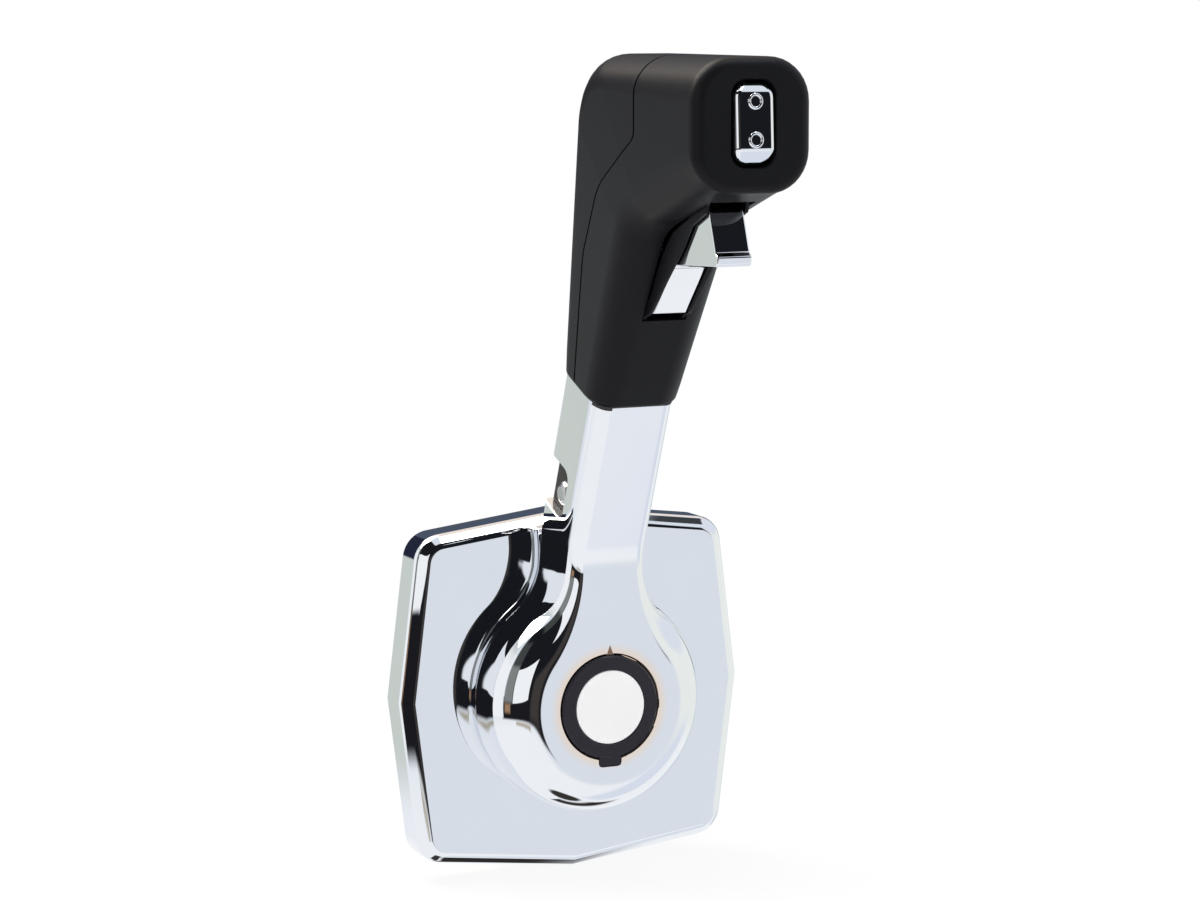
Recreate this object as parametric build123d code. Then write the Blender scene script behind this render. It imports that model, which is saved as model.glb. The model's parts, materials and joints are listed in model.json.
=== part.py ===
from build123d import *
import math
import os

# Boat throttle control lever, side-mount electronic type.  Millimetres.
# Origin: lever pivot axis at the panel face.  +Z up, -Y towards the operator, +X to the right.
# "Depth" is Y: negative in front of the panel, positive behind it.

# ---- bezel ----
PLATE_WIDTH = 130.0        # across the crowned middles of the sides
PLATE_HEIGHT = 128.6
PLATE_RISE = 0.7           # plate centre above the pivot
SIDE_CROWN = 7.2           # how far each side's middle stands out past its corners
CORNER_R = 10.0
PLATE_DEPTH = 15.8
PLATE_BEVEL = 3.45
BEZEL_WALL = 2.4
BEZEL_HOLE_CLEAR = 1.0

# ---- panel side: gasket, chassis, housing ----
GASKET_T = 1.5
CHASSIS_T = 6.0
CHASSIS_CLEAR = 0.5        # chassis plate to bezel wall
MOUNT_SPACING = 84.0
MOUNT_HOLE_R = 2.75
CUTOUT_HALF_X = 36.0
CUTOUT_HALF_Z = 49.0
CUTOUT_CORNER_R = 6.0
BOSS_R = 19.5
HOUSING_HALF_X = 27.0
HOUSING_HALF_Z = 47.0
HOUSING_DEPTH = 48.0
HOUSING_FLOOR = 3.0
HOUSING_SIDE_WALL = 4.5
HOUSING_REAR_WALL = 2.5
HOUSING_CORNER_R = 5.0
COVER_T = 3.0
CORNER_BOSS_R = 4.0
CORNER_BOSS_INSET = 4.5
SCREW_R = 2.0
SCREW_HEAD_R = 3.6
SCREW_HEAD_H = 2.4
SCREW_CLEAR = 0.1
CHASSIS_SCREW_X = 18.0
CHASSIS_SCREW_Z = 36.0
CHASSIS_SCREW_BOSS_R = 4.2
CHASSIS_SCREW_REACH = 9.0

# ---- main shaft and its bearings ----
SHAFT_R = 9.0
SHAFT_FLAT = 7.5           # half the distance across the two driving flats
SHAFT_BORE_R = 3.6
SHAFT_THREAD_R = 8.0
SHAFT_FRONT = -36.6
SHAFT_REAR = 36.0
SHAFT_TAIL_R = 7.0
SHAFT_COLLAR_R = 12.0
RUNNING = 0.05             # radial running clearance
FIT = 0.05                 # gap between pieces that are assembled by hand
SEAL_R = 14.0
SEAL_T = 4.6
BUSH_R = 11.5
BUSH_FLANGE_R = 13.9
BUSH_FLANGE_T = 1.5
REAR_BUSH_R = 9.5
BRIDGE_T = 4.0             # bearing bridge plate
NUT_FLATS = 22.0
NUT_T = 5.0
WASHER_R = 12.5
WASHER_T = 1.2
CLIP_R = 9.6
CLIP_T = 1.2

# ---- gears and wheels on the shaft ----
MODULE = 1.0
DRIVE_TEETH = 40
SENSOR_TEETH = 20
PRESSURE_ANGLE = math.radians(20)
BACKLASH = 0.16
GEAR_T = 6.0
SENSOR_GEAR_T = 5.0
SENSOR_PIN_R = 2.5
MAGNET_R = 4.0
MAGNET_T = 2.5
DETENT_R = 15.0
DETENT_T = 5.0
DETENT_NOTCH_R = 2.6
DETENT_STEP = 15.0         # degrees between the feel notches
DRUM_R = 12.0
STACK_GAP = 0.3            # running gap between rotating and fixed faces

# ---- side units: detent plunger and friction shoe ----
UNIT_BORE_R = 4.0
UNIT_BOSS_R = 6.5
UNIT_BOSS_END = 33.0
UNIT_GUIDE_END = 22.0
UNIT_CAP_T = 3.0
PLUNGER_TIP_R = 2.4
SPRING_WIRE_R = 0.45
SPRING_TURNS = 5

# ---- electronics ----
BOARD_HALF_X = 20.0
BOARD_HALF_Z = 38.0
BOARD_T = 1.6
BOARD_STANDOFF = 4.0
BOARD_STANDOFF_R = 2.5
BOARD_POST_X = 16.0
BOARD_POST_Z = 12.0
BOARD_HOLE_R = 9.0
SOCKET_WIDTH = 26.0
SOCKET_HEIGHT = 14.0
SOCKET_REACH = 10.0
SOCKET_WALL = 1.5
SOCKET_Z = -26.0
SOCKET_PIN_R = 0.6
SWITCH_WIDTH = 14.0
SWITCH_HEIGHT = 9.0

# ---- lever: hub and neck ----
HUB_R = 39.5
HUB_REAR = -17.0
HUB_SHOULDER = -29.0       # where the dome starts
HUB_FACE = -45.1
HUB_FLAT_R = 26.0
NECK_HALF = 15.0
NECK_FLAT_HALF = 10.0
NECK_SHOULDER = -36.0      # where the neck's edge rounding starts
DOME_STEPS = 6
BEND_Z = 50.0
BEND_INNER_R = 6.0
LEAN = 22.0
REAR_EDGE_R = 3.0
HUB_CAVITY_R = 35.5
HUB_CAVITY_FRONT = -27.0
HUB_BOSS_R = 13.5
HUB_WELL_R = 18.3
HUB_WELL_FLOOR = -30.0
HUB_WELL_WALL = 3.2
HUB_DEEP_R = 33.0
HUB_DEEP_FRONT = -36.0
COVER_RING_T = 1.4
COVER_RING_R = 24.5
COVER_LEDGE = 1.5

# ---- neutral lock ----
LOCK_RING_R = 22.5
LOCK_RING_BORE_R = 14.3
LOCK_RING_FRONT = -23.0
LOCK_NOTCH_HALF = 2.5
LOCK_NOTCH_DEPTH = 3.0
LOCK_SCREW_CIRCLE = 16.8
LOCK_SCREW_R = 1.3
LOCK_SCREW_HEAD_R = 2.4
LOCK_SCREW_HEAD_H = 1.4
ROD_Y = -22.5              # the lean line passes here ...
ROD_Z = 26.0               # ... and here
ROD_R = 2.0
ROD_CLEAR = 0.1
PIN_TIP_W = -2.5
PIN_COLLAR_R = 3.4
PIN_COLLAR_START = 4.0
PIN_COLLAR_END = 10.0
PIN_SOCKET_W = 6.0
ROD_TOP_EXTRA = 3.0        # rod above the carriage
TRIGGER_TRAVEL = 6.0

# ---- arm top, core bar and side recess ----
ARM_TOP_W = 97.0
CORE_HALF_X = 6.0
CORE_FRONT_N = -4.0
CORE_REAR_N = 10.0
CORE_START_W = 44.2
CORE_END_W = 119.0
CORE_CLEAR = 0.1
RECESS_FRONT_N = 0.6
RECESS_LOW_W = 41.5
RECESS_HIGH_W = 59.5
RECESS_DEPTH = 4.5
RECESS_CORNER_R = 4.0
LINER_T = 1.2
LINER_CLEAR = 0.2
LINER_REACH = 20.0         # more than half the arm's depth
BOLT_N = 5.3
BOLT_W = 49.6
BOLT_R = 2.0
BOLT_HEAD_R = 4.4
BOLT_HEAD_H = 2.8

# ---- grip ----
GRIP_WALL = 2.6
GRIP_BASE_W = 92.0
GRIP_EDGE_R = 3.0
ARM_SOCKET_CLEAR = 0.3
SEAM_GAP = 0.3
HEAD_TOP = 224.0
HEAD_HEIGHT = 43.5
HEAD_FACE = -151.0
HEAD_HALF = 20.8
FACE_INSET = 4.0

GRIP_BASE_HALF = 16.8
GRIP_BASE_FRONT_N = -13.4
GRIP_BASE_REAR_N = 20.0
GRIP_BASE_CORNER_R = 10.0
THROAT_HALF = 20.3         # half width where the grip starts to turn forward
THROAT_CORNER_R = 13.0
HEAD_CORNER_R = 14.0
CROWN_CORNER = (-60.5, 224.0)   # where the rear line meets the flat top
CROWN_R = 20.0
THROAT_CORNER = (-105.5, 168.2) # where the front line meets the head's underside
THROAT_R = 20.0
TURN_STEPS = 8             # sections round the turn
SEAM_REAR_Y = 20.0          # behind all of the grip
SEAM_LINE = [(-48.5, 98.0), (-64.5, 158.0), (-79.0, 181.0), (-108.0, 198.0), (-108.0, 240.0)]
SEAM_BENDS = [25.0, 25.0, 4.0]
HEAD_SCREW_X = 14.2
HEAD_SCREW_Z = 203.0
HEAD_SCREW_SEAT = -60.0
HEAD_SCREW_END = -98.0
HEAD_BOSS_R = 3.4
GRIP_SCREW_R = 1.4
GRIP_SCREW_HEAD_R = 2.6
GRIP_SCREW_HEAD_H = 2.0
BASE_SCREW_WS = (104.0, 114.0)
COLLAR_T = 1.0
COLLAR_LIP = 0.35          # how far the ring stands out past the arm
COLLAR_TAB_T = 0.7
COLLAR_CORNER_R = 1.5
COLLAR_TAB_X = -9.5
COLLAR_TAB_WIDTH = 6.5
COLLAR_TAB_DROP = 1.8

# ---- interlock trigger ----
TRIGGER_HALF = 6.1
TRIGGER_SLOT_HALF = 8.0
CARRIAGE_HALF = 4.5
CARRIAGE_REAR_N = 5.5
CARRIAGE_FRONT_N = -8.0
CARRIAGE_LOW_W = 133.0
CARRIAGE_HEIGHT = 13.0
TRIGGER_SPRING_R = 3.2
TRIGGER_SPRING_LENGTH = 12.0
SPRING_SEAT_DEPTH = 10.0
SPRING_SEAT_T = 3.0
TRIGGER_NOSE_R = 1.6
TRIGGER_EDGE_R = 1.0
BLADE_LOW = (-91.5, 139.8)
BLADE_HIGH = (-105.8, 155.4)
BLADE_BACK_LOW = (-87.4, 140.2)
BLADE_BACK_HIGH = (-104.2, 159.6)
LIP_ROOT = (-107.4, 156.8)
LIP_NOSE_LOW = (-138.0, 158.2)
LIP_NOSE_HIGH = (-138.4, 161.8)
TRIGGER_FACE_LOW = (-134.0, 168.2)
TRIGGER_FACE_TOP = (-131.6, 177.6)
TRIGGER_BACK = [(-127.2, 176.6), (-118.7, 168.6), (-111.0, 159.4)]
SLOT_LOW = (-80.0, 138.2)
SLOT_OUTSIDE = [(-95.0, 135.8), (-150.0, 150.0), (-137.6, 170.0)]
SLOT_FLOOR = [(-137.6, 186.0), (-118.0, 183.0), (-100.0, 172.0), (-80.0, 150.0)]

# ---- trim switch ----
ROCKER_HALF_X = 7.15
ROCKER_HALF_Z = 12.7
ROCKER_Z = 203.3
ROCKER_FRONT = -152.6
ROCKER_PIVOT_Y = -145.0
ROCKER_CAP_T = 4.5
ROCKER_WEDGE_TOP = 2.8
ROCKER_WEDGE_LOW = 4.7
ROCKER_WEDGE_DROP = 2.6
ROCKER_CLEAR_X = 0.45
ROCKER_CLEAR_Z = 1.3
ROCKER_RING_R = 2.1
ROCKER_RING_WIRE = 0.5
ROCKER_RING_HEIGHTS = (-4.9, 7.0)       # of the ring marks, from the rocker's middle
SWITCH_FRAME_WALL = 1.8
SWITCH_FRAME_REAR = -134.0
SWITCH_FRAME_FLOOR = 4.0
ROCKER_PIN_R = 1.25

# ---- throttle-only button ----
BUTTON_R = 18.0
BUTTON_DISC_R = 12.8
BUTTON_FRONT = -45.6
BUTTON_DISC_T = 1.6
BUTTON_WEB_T = 1.6
BUTTON_EDGE = 0.6
BUTTON_SPRING_R = 5.2
BUTTON_SKIRT = 8.0
BUTTON_WALL = 2.0
BUTTON_TRAVEL = 4.0
BUTTON_TAB_HALF = 4.05
BUTTON_TAB_REACH = 20.7
BUTTON_TAB_T = 3.0
STEM_R = 3.5
STEM_END = 37.0
POINTER_TIP_Z = 21.7
POINTER_HALF = 1.65


# ---- worked-out places ----
CHASSIS_REAR = -GASKET_T
CHASSIS_FRONT = -GASKET_T - CHASSIS_T
BOSS_FRONT = -PLATE_DEPTH - STACK_GAP
BOSS_REAR = HOUSING_FLOOR + GASKET_T
SEAL_REAR = BOSS_FRONT + SEAL_T + STACK_GAP
WHEEL_FRONT = BOSS_REAR + STACK_GAP
DETENT_FRONT = WHEEL_FRONT + 2.5
DETENT_REAR = DETENT_FRONT + DETENT_T
GEAR_FRONT = DETENT_REAR + 7.0
GEAR_REAR = GEAR_FRONT + GEAR_T
BRIDGE_FRONT = GEAR_REAR + 2.0
BRIDGE_REAR = BRIDGE_FRONT + BRIDGE_T
BOARD_FRONT = BRIDGE_REAR + BOARD_STANDOFF
COVER_FRONT = HOUSING_DEPTH
SENSOR_Z = MODULE * (DRIVE_TEETH + SENSOR_TEETH) / 2
DETENT_AXIS_Y = (DETENT_FRONT + DETENT_REAR) / 2
DRUM_AXIS_Y = (DETENT_REAR + GEAR_FRONT) / 2
HOUSING_FRONT = CHASSIS_REAR
CLIP_FRONT = BRIDGE_REAR + STACK_GAP
LOCK_SEAT = LOCK_RING_FRONT + 2.0
HEAD_LOW = HEAD_TOP - HEAD_HEIGHT
COVER_SEAT = HUB_REAR - FIT - COVER_RING_T
CORE_ROOM_W = ARM_TOP_W + 1.0
BASE_SCREW_SEAT_N = CORE_REAR_N + 6.0
HEAD_POST_SPLIT = HEAD_SCREW_SEAT - 26.0
CARRIAGE_HIGH_W = CARRIAGE_LOW_W + CARRIAGE_HEIGHT
ROD_TOP_W = CARRIAGE_HIGH_W + ROD_TOP_EXTRA
TRIGGER_SPRING_SEAT_W = CARRIAGE_HIGH_W + TRIGGER_SPRING_LENGTH


# ---- helpers ----
def facing(depth):
    """Plane at a depth, seen from the operator: local x is X, local y is Z."""
    return Plane(origin=(0, depth, 0), x_dir=(1, 0, 0), z_dir=(0, -1, 0))


def slab(outline, rear, front):
    """Extrude a front-view outline from its rear depth to its front depth."""
    return extrude(facing(rear) * outline, amount=rear - front)


def bar_y(radius, rear, front, x=0, z=0):
    """Round bar along Y."""
    return slab(Pos(x, z) * Circle(radius), rear, front)


def turned(*profile):
    """Revolve a closed (radius, depth) outline about the pivot axis."""
    return revolve(make_face(Polyline(*profile, close=True)), axis=Axis.Y)


def sleeve_y(outer, inner, rear, front, x=0, z=0):
    """Round sleeve along Y."""
    return bar_y(outer, rear, front, x, z) - bar_y(inner, rear, front, x, z)


def side_slab(outline, half_width, x=0):
    """Extrude a side-view outline (depth, height) equally to both sides of x."""
    plane = Plane(origin=(x, 0, 0), x_dir=(0, 1, 0), z_dir=(1, 0, 0))
    return extrude(plane * outline, amount=half_width, both=True)


def side_face(*points):
    """Closed straight-sided outline."""
    return make_face(Polyline(*points, close=True))


def bar_x(radius, start, end, depth=0, height=0):
    """Round bar along X from start to end."""
    plane = Plane(origin=(start, 0, 0), x_dir=(0, 1, 0), z_dir=(1, 0, 0))
    return extrude(plane * Pos(depth, height) * Circle(radius), amount=end - start)


def leaning(reach):
    """Plane square to the lever's lean: local x is X, local y points to the rear, reach is up the lean."""
    tilt = math.radians(LEAN)
    rise = (0, -math.sin(tilt), math.cos(tilt))
    return Plane(origin=(0, ROD_Y, ROD_Z), x_dir=(1, 0, 0), z_dir=rise).offset(reach)


def lean_slab(outline, start, end):
    """Extrude an outline along the lean."""
    return extrude(leaning(start) * outline, amount=end - start)


def lean_bar(radius, start, end, x=0, n=0):
    """Round bar along the lean."""
    return lean_slab(Pos(x, n) * Circle(radius), start, end)


def lean_point(n, reach):
    """Side-view (depth, height) of a point given in the leaning frame."""
    tilt = math.radians(LEAN)
    depth = ROD_Y + n * math.cos(tilt) - reach * math.sin(tilt)
    height = ROD_Z + n * math.sin(tilt) + reach * math.cos(tilt)
    return depth, height


def corners(half_x, half_z):
    """The four corner places of a rectangle."""
    return [(sx * half_x, sz * half_z) for sx in (-1, 1) for sz in (-1, 1)]


def fused(solids):
    """One body from several."""
    total = solids[0]
    for solid in solids[1:]:
        total = total + solid
    return total


def pan_screws(places, seat, reach, radius=SCREW_R, head_r=SCREW_HEAD_R, head_h=SCREW_HEAD_H):
    """Round-headed screws along Y.  The head stands on seat and the shank runs to reach."""
    outward = math.copysign(1, seat - reach)
    screws = []
    for x, z in places:
        low, high = sorted((seat, reach))
        shank = bar_y(radius, high, low, x, z)
        ends = sorted((seat, seat + outward * head_h))
        head = bar_y(head_r, ends[1], ends[0], x, z)
        rim = head.faces().sort_by(Axis.Y)[-1 if outward > 0 else 0].edges()
        screws.append(fillet(rim, head_h / 2) + shank)
    return Compound(screws)


def coil(mean_r, length):
    """Helical spring standing along +Z from the origin, ends cut square."""
    pitch = length / SPRING_TURNS
    path = Helix(pitch=pitch, height=length, radius=mean_r)
    start = Plane(origin=path @ 0, z_dir=path % 0)
    return sweep(start * Circle(SPRING_WIRE_R), path=path)


# ---- bezel and chassis ----
def plate_outline():
    """Square with each side raised to a crease at its middle."""
    half_x, half_z = PLATE_WIDTH / 2, PLATE_HEIGHT / 2
    cx, cz = half_x - SIDE_CROWN, half_z - SIDE_CROWN
    ring = [(half_x, 0), (cx, cz), (0, half_z), (-cx, cz), (-half_x, 0), (-cx, -cz), (0, -half_z), (cx, -cz)]
    outline = make_face(Polyline(*ring, close=True))
    sharp = outline.vertices().filter_by(lambda v: abs(v.X) > 1 and abs(v.Y) > 1)
    return Pos(0, PLATE_RISE) * fillet(sharp, CORNER_R)


def bezel_block(outline, depth):
    """Solid plate with its front edge bevelled."""
    block = slab(outline, 0, -depth)
    return chamfer(block.faces().sort_by(Axis.Y)[0].edges(), PLATE_BEVEL)


def bezel_plate():
    shell = bezel_block(plate_outline(), PLATE_DEPTH)
    inside = bezel_block(offset(plate_outline(), -BEZEL_WALL), PLATE_DEPTH - BEZEL_WALL)
    return shell - inside - bar_y(BOSS_R + BEZEL_HOLE_CLEAR, 0, -PLATE_DEPTH)


def cutout():
    return RectangleRounded(2 * CUTOUT_HALF_X, 2 * CUTOUT_HALF_Z, CUTOUT_CORNER_R)


def mount_holes(radius):
    half = MOUNT_SPACING / 2
    return [Pos(x, z) * Circle(radius) for x, z in corners(half, half)]


def panel_gasket():
    outline = offset(plate_outline(), -BEZEL_WALL - CHASSIS_CLEAR) - cutout()
    return slab(outline - mount_holes(MOUNT_HOLE_R), 0, CHASSIS_REAR)


def chassis_plate():
    outline = offset(plate_outline(), -BEZEL_WALL - CHASSIS_CLEAR)
    holes = [Pos(x, z) * Circle(SCREW_R + SCREW_CLEAR) for x, z in corners(CHASSIS_SCREW_X, CHASSIS_SCREW_Z)]
    plate = slab(outline - mount_holes(MOUNT_HOLE_R) - holes, CHASSIS_REAR, CHASSIS_FRONT)
    boss = bar_y(BOSS_R, BOSS_REAR, BOSS_FRONT)
    shoulder = SEAL_REAR + BUSH_FLANGE_T
    bore = bar_y(BUSH_R + FIT, BOSS_REAR, BOSS_FRONT) + bar_y(SEAL_R + FIT, shoulder, BOSS_FRONT)
    return plate + boss - bore - lock_screw_cuts(LOCK_SCREW_R, BOSS_FRONT + 4, BOSS_FRONT)


def chassis_screws():
    return pan_screws(corners(CHASSIS_SCREW_X, CHASSIS_SCREW_Z), CHASSIS_FRONT, CHASSIS_SCREW_REACH)


# ---- housing ----
def housing_block():
    outline = RectangleRounded(2 * HOUSING_HALF_X, 2 * HOUSING_HALF_Z, HOUSING_CORNER_R)
    return slab(outline, HOUSING_DEPTH, HOUSING_FRONT)


def side_unit(side, depth):
    """Bored boss on a housing side: outer spigot and inner guide."""
    return bar_x(UNIT_BOSS_R, side * UNIT_GUIDE_END, side * UNIT_BOSS_END, depth)


def housing_body():
    front_x, front_z = HOUSING_HALF_X - HOUSING_SIDE_WALL, HOUSING_HALF_Z - HOUSING_SIDE_WALL
    rear_x, rear_z = HOUSING_HALF_X - HOUSING_REAR_WALL, HOUSING_HALF_Z - HOUSING_REAR_WALL
    front_room = slab(Rectangle(2 * front_x, 2 * front_z), BRIDGE_FRONT, HOUSING_FRONT + HOUSING_FLOOR)
    rear_room = slab(Rectangle(2 * rear_x, 2 * rear_z), HOUSING_DEPTH, BRIDGE_FRONT)
    body = housing_block() - front_room - rear_room
    body += fused([side_unit(1, DETENT_AXIS_Y), side_unit(-1, DRUM_AXIS_Y)])
    body += corner_bosses(CORNER_BOSS_R)
    body += fused([bar_y(CHASSIS_SCREW_BOSS_R, CHASSIS_SCREW_REACH + 1, HOUSING_FRONT, x, z)
                   for x, z in corners(CHASSIS_SCREW_X, CHASSIS_SCREW_Z)])
    body -= bar_y(BOSS_R + FIT, BOSS_REAR, HOUSING_FRONT)
    body -= bar_x(UNIT_BORE_R, 0, UNIT_BOSS_END, DETENT_AXIS_Y)
    body -= bar_x(UNIT_BORE_R, -UNIT_BOSS_END, 0, DRUM_AXIS_Y)
    body -= [bar_y(SCREW_R, CHASSIS_SCREW_REACH, HOUSING_FRONT, x, z)
             for x, z in corners(CHASSIS_SCREW_X, CHASSIS_SCREW_Z)]
    body -= [bar_y(SCREW_R, HOUSING_DEPTH, HOUSING_DEPTH - 10, x, z) for x, z in boss_places()]
    bore_r = SENSOR_PIN_R + RUNNING
    return body - [bar_y(bore_r, GEAR_FRONT, HOUSING_FRONT + 1, 0, side * SENSOR_Z) for side in (-1, 1)]


def boss_places():
    return corners(HOUSING_HALF_X - CORNER_BOSS_INSET, HOUSING_HALF_Z - CORNER_BOSS_INSET)


def corner_bosses(radius):
    return fused([bar_y(radius, HOUSING_DEPTH, BRIDGE_FRONT, x, z) for x, z in boss_places()])


def housing_cover():
    outline = RectangleRounded(2 * HOUSING_HALF_X, 2 * HOUSING_HALF_Z, HOUSING_CORNER_R)
    holes = [Pos(x, z) * Circle(SCREW_R + SCREW_CLEAR) for x, z in boss_places()]
    port = Pos(0, SOCKET_Z) * Rectangle(SOCKET_WIDTH, SOCKET_HEIGHT)
    cover = slab(outline - holes - port, COVER_FRONT + COVER_T, COVER_FRONT)
    return fillet(cover.faces().sort_by(Axis.Y)[-1].outer_wire().edges(), 1)


def cover_screws():
    return pan_screws(boss_places(), COVER_FRONT + COVER_T, HOUSING_DEPTH - 9)


def connector_socket():
    """Rectangular multi-pin inlet: flange inside, open shroud outside, keyed by one rib."""
    seat = COVER_FRONT + COVER_T + SOCKET_REACH
    fitted = Pos(0, SOCKET_Z) * Rectangle(SOCKET_WIDTH - 2 * FIT, SOCKET_HEIGHT - 2 * FIT)
    flange = Pos(0, SOCKET_Z) * Rectangle(SOCKET_WIDTH + 4, SOCKET_HEIGHT + 4)
    hollow = offset(fitted, -SOCKET_WALL)
    body = slab(fitted, seat, COVER_FRONT) + slab(flange, COVER_FRONT, COVER_FRONT - 2)
    body -= slab(hollow, seat, COVER_FRONT + 2)
    rib = Pos(0, SOCKET_Z + SOCKET_HEIGHT / 2 - SOCKET_WALL) * Rectangle(3, 2)
    return body + slab(rib, seat, COVER_FRONT + 2) - pin_bars()


def pin_bars():
    """Two rows of contact bars across the inlet's floor."""
    return [bar_y(SOCKET_PIN_R, COVER_FRONT + COVER_T + 5, COVER_FRONT - 3, x * 4.0, SOCKET_Z + z * 2.2)
            for x in range(-2, 3) for z in (-1, 1)]


def socket_pins():
    return Compound(pin_bars())


def bearing_bridge():
    half_x = HOUSING_HALF_X - HOUSING_REAR_WALL - FIT
    half_z = HOUSING_HALF_Z - HOUSING_REAR_WALL - FIT
    plate = slab(Rectangle(2 * half_x, 2 * half_z), BRIDGE_REAR, BRIDGE_FRONT)
    plate -= corner_bosses(CORNER_BOSS_R + SCREW_CLEAR)
    plate -= bar_y(REAR_BUSH_R + FIT, BRIDGE_REAR, BRIDGE_FRONT)
    plate -= [bar_y(SENSOR_PIN_R + RUNNING, BRIDGE_REAR, BRIDGE_FRONT, 0, s * SENSOR_Z) for s in (-1, 1)]
    places = corners(BOARD_POST_X, BOARD_POST_Z)
    plate += [bar_y(BOARD_STANDOFF_R, BOARD_FRONT, BRIDGE_REAR, x, z) for x, z in places]
    return plate - [bar_y(LOCK_SCREW_R, BOARD_FRONT, BRIDGE_FRONT + 1, x, z) for x, z in places]


def sensor_board():
    """Circuit board carrying the two angle sensors, standing on the bridge posts."""
    board = Rectangle(2 * BOARD_HALF_X, 2 * BOARD_HALF_Z) - Circle(BOARD_HOLE_R)
    board -= [Pos(x, z) * Circle(LOCK_SCREW_R + SCREW_CLEAR) for x, z in corners(BOARD_POST_X, BOARD_POST_Z)]
    body = slab(board, BOARD_FRONT + BOARD_T, BOARD_FRONT)
    chips = [slab(Pos(0, s * SENSOR_Z) * Rectangle(6, 5), BOARD_FRONT + BOARD_T + 1.2, BOARD_FRONT + BOARD_T)
             for s in (-1, 1)]
    return body + chips


def board_screws():
    seat = BOARD_FRONT + BOARD_T
    return pan_screws(corners(BOARD_POST_X, BOARD_POST_Z), seat, BRIDGE_REAR,
                      LOCK_SCREW_R, LOCK_SCREW_HEAD_R, LOCK_SCREW_HEAD_H)


def stem_switch():
    """Push switch on the cover, reached by the button's stem."""
    rear, front = COVER_FRONT, STEM_END + BUTTON_TRAVEL + STACK_GAP
    case = slab(Rectangle(SWITCH_WIDTH, SWITCH_HEIGHT), rear, front + 1.2)
    return case + bar_y(1.5, front + 1.2, front)


# ---- shaft, bearings and gears ----
def main_shaft():
    """Hollow stepped shaft: thread, two driving flats, thrust collar, keyed seat and rear journal."""
    body = bar_y(SHAFT_R, BRIDGE_FRONT - STACK_GAP, HUB_WELL_FLOOR)
    flats = slab(Rectangle(2 * SHAFT_FLAT, 2 * SHAFT_R), HUB_REAR, HUB_WELL_FLOOR)
    body -= bar_y(SHAFT_R + 1, HUB_REAR, HUB_WELL_FLOOR)
    body += flats & bar_y(SHAFT_R, HUB_REAR, HUB_WELL_FLOOR)
    thread = bar_y(SHAFT_THREAD_R, HUB_WELL_FLOOR, SHAFT_FRONT) & slab(
        Rectangle(2 * SHAFT_FLAT, 2 * SHAFT_R), HUB_WELL_FLOOR, SHAFT_FRONT)
    collar = bar_y(SHAFT_COLLAR_R, DETENT_FRONT, WHEEL_FRONT)
    tail = bar_y(SHAFT_TAIL_R, SHAFT_REAR, BRIDGE_FRONT - STACK_GAP)
    groove = sleeve_y(SHAFT_TAIL_R, SHAFT_TAIL_R - 1, CLIP_FRONT + CLIP_T, CLIP_FRONT)
    body = body + thread + collar + tail - groove
    return body - bar_y(SHAFT_BORE_R, SHAFT_REAR, SHAFT_FRONT) - key_block(FIT)


def key_block(margin=0.0):
    """Parallel key that drives the wheels, or its keyway when given a margin."""
    width, foot, head = 3.0, SHAFT_R - 1.8, SHAFT_R + 1.6
    section = Pos(0, (foot + head) / 2) * Rectangle(width + 2 * margin, head - foot + 2 * margin)
    return slab(section, GEAR_REAR, DETENT_FRONT)


def shaft_key():
    return key_block()


def shaft_seal():
    """Lip seal: outer ring, dished web and a lip just clear of the shaft."""
    rear, front, lip = SEAL_REAR, SEAL_REAR - SEAL_T, SHAFT_R + RUNNING
    return turned((SEAL_R, rear), (SEAL_R, front), (SEAL_R - 2, front), (SEAL_R - 2, rear - 1.5),
                  (lip + 1.2, rear - 1.5), (lip, front + 1), (lip, rear - 0.5), (SEAL_R - 3, rear))


def shaft_bush_front():
    """Flanged plain bush in the chassis boss."""
    bore, flange_rear = SHAFT_R + RUNNING, SEAL_REAR + BUSH_FLANGE_T
    return turned((bore, BOSS_REAR), (BUSH_R, BOSS_REAR), (BUSH_R, flange_rear),
                  (BUSH_FLANGE_R, flange_rear), (BUSH_FLANGE_R, SEAL_REAR), (bore, SEAL_REAR))


def shaft_bush_rear():
    return sleeve_y(REAR_BUSH_R, SHAFT_TAIL_R + RUNNING, BRIDGE_REAR, BRIDGE_FRONT)


def shaft_clip():
    """Open retaining ring in the tail groove."""
    ring = Circle(CLIP_R) - Circle(SHAFT_TAIL_R - 1 + FIT) - Pos(0, -CLIP_R) * Rectangle(7, CLIP_R)
    return slab(ring, CLIP_FRONT + CLIP_T, CLIP_FRONT)


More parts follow.
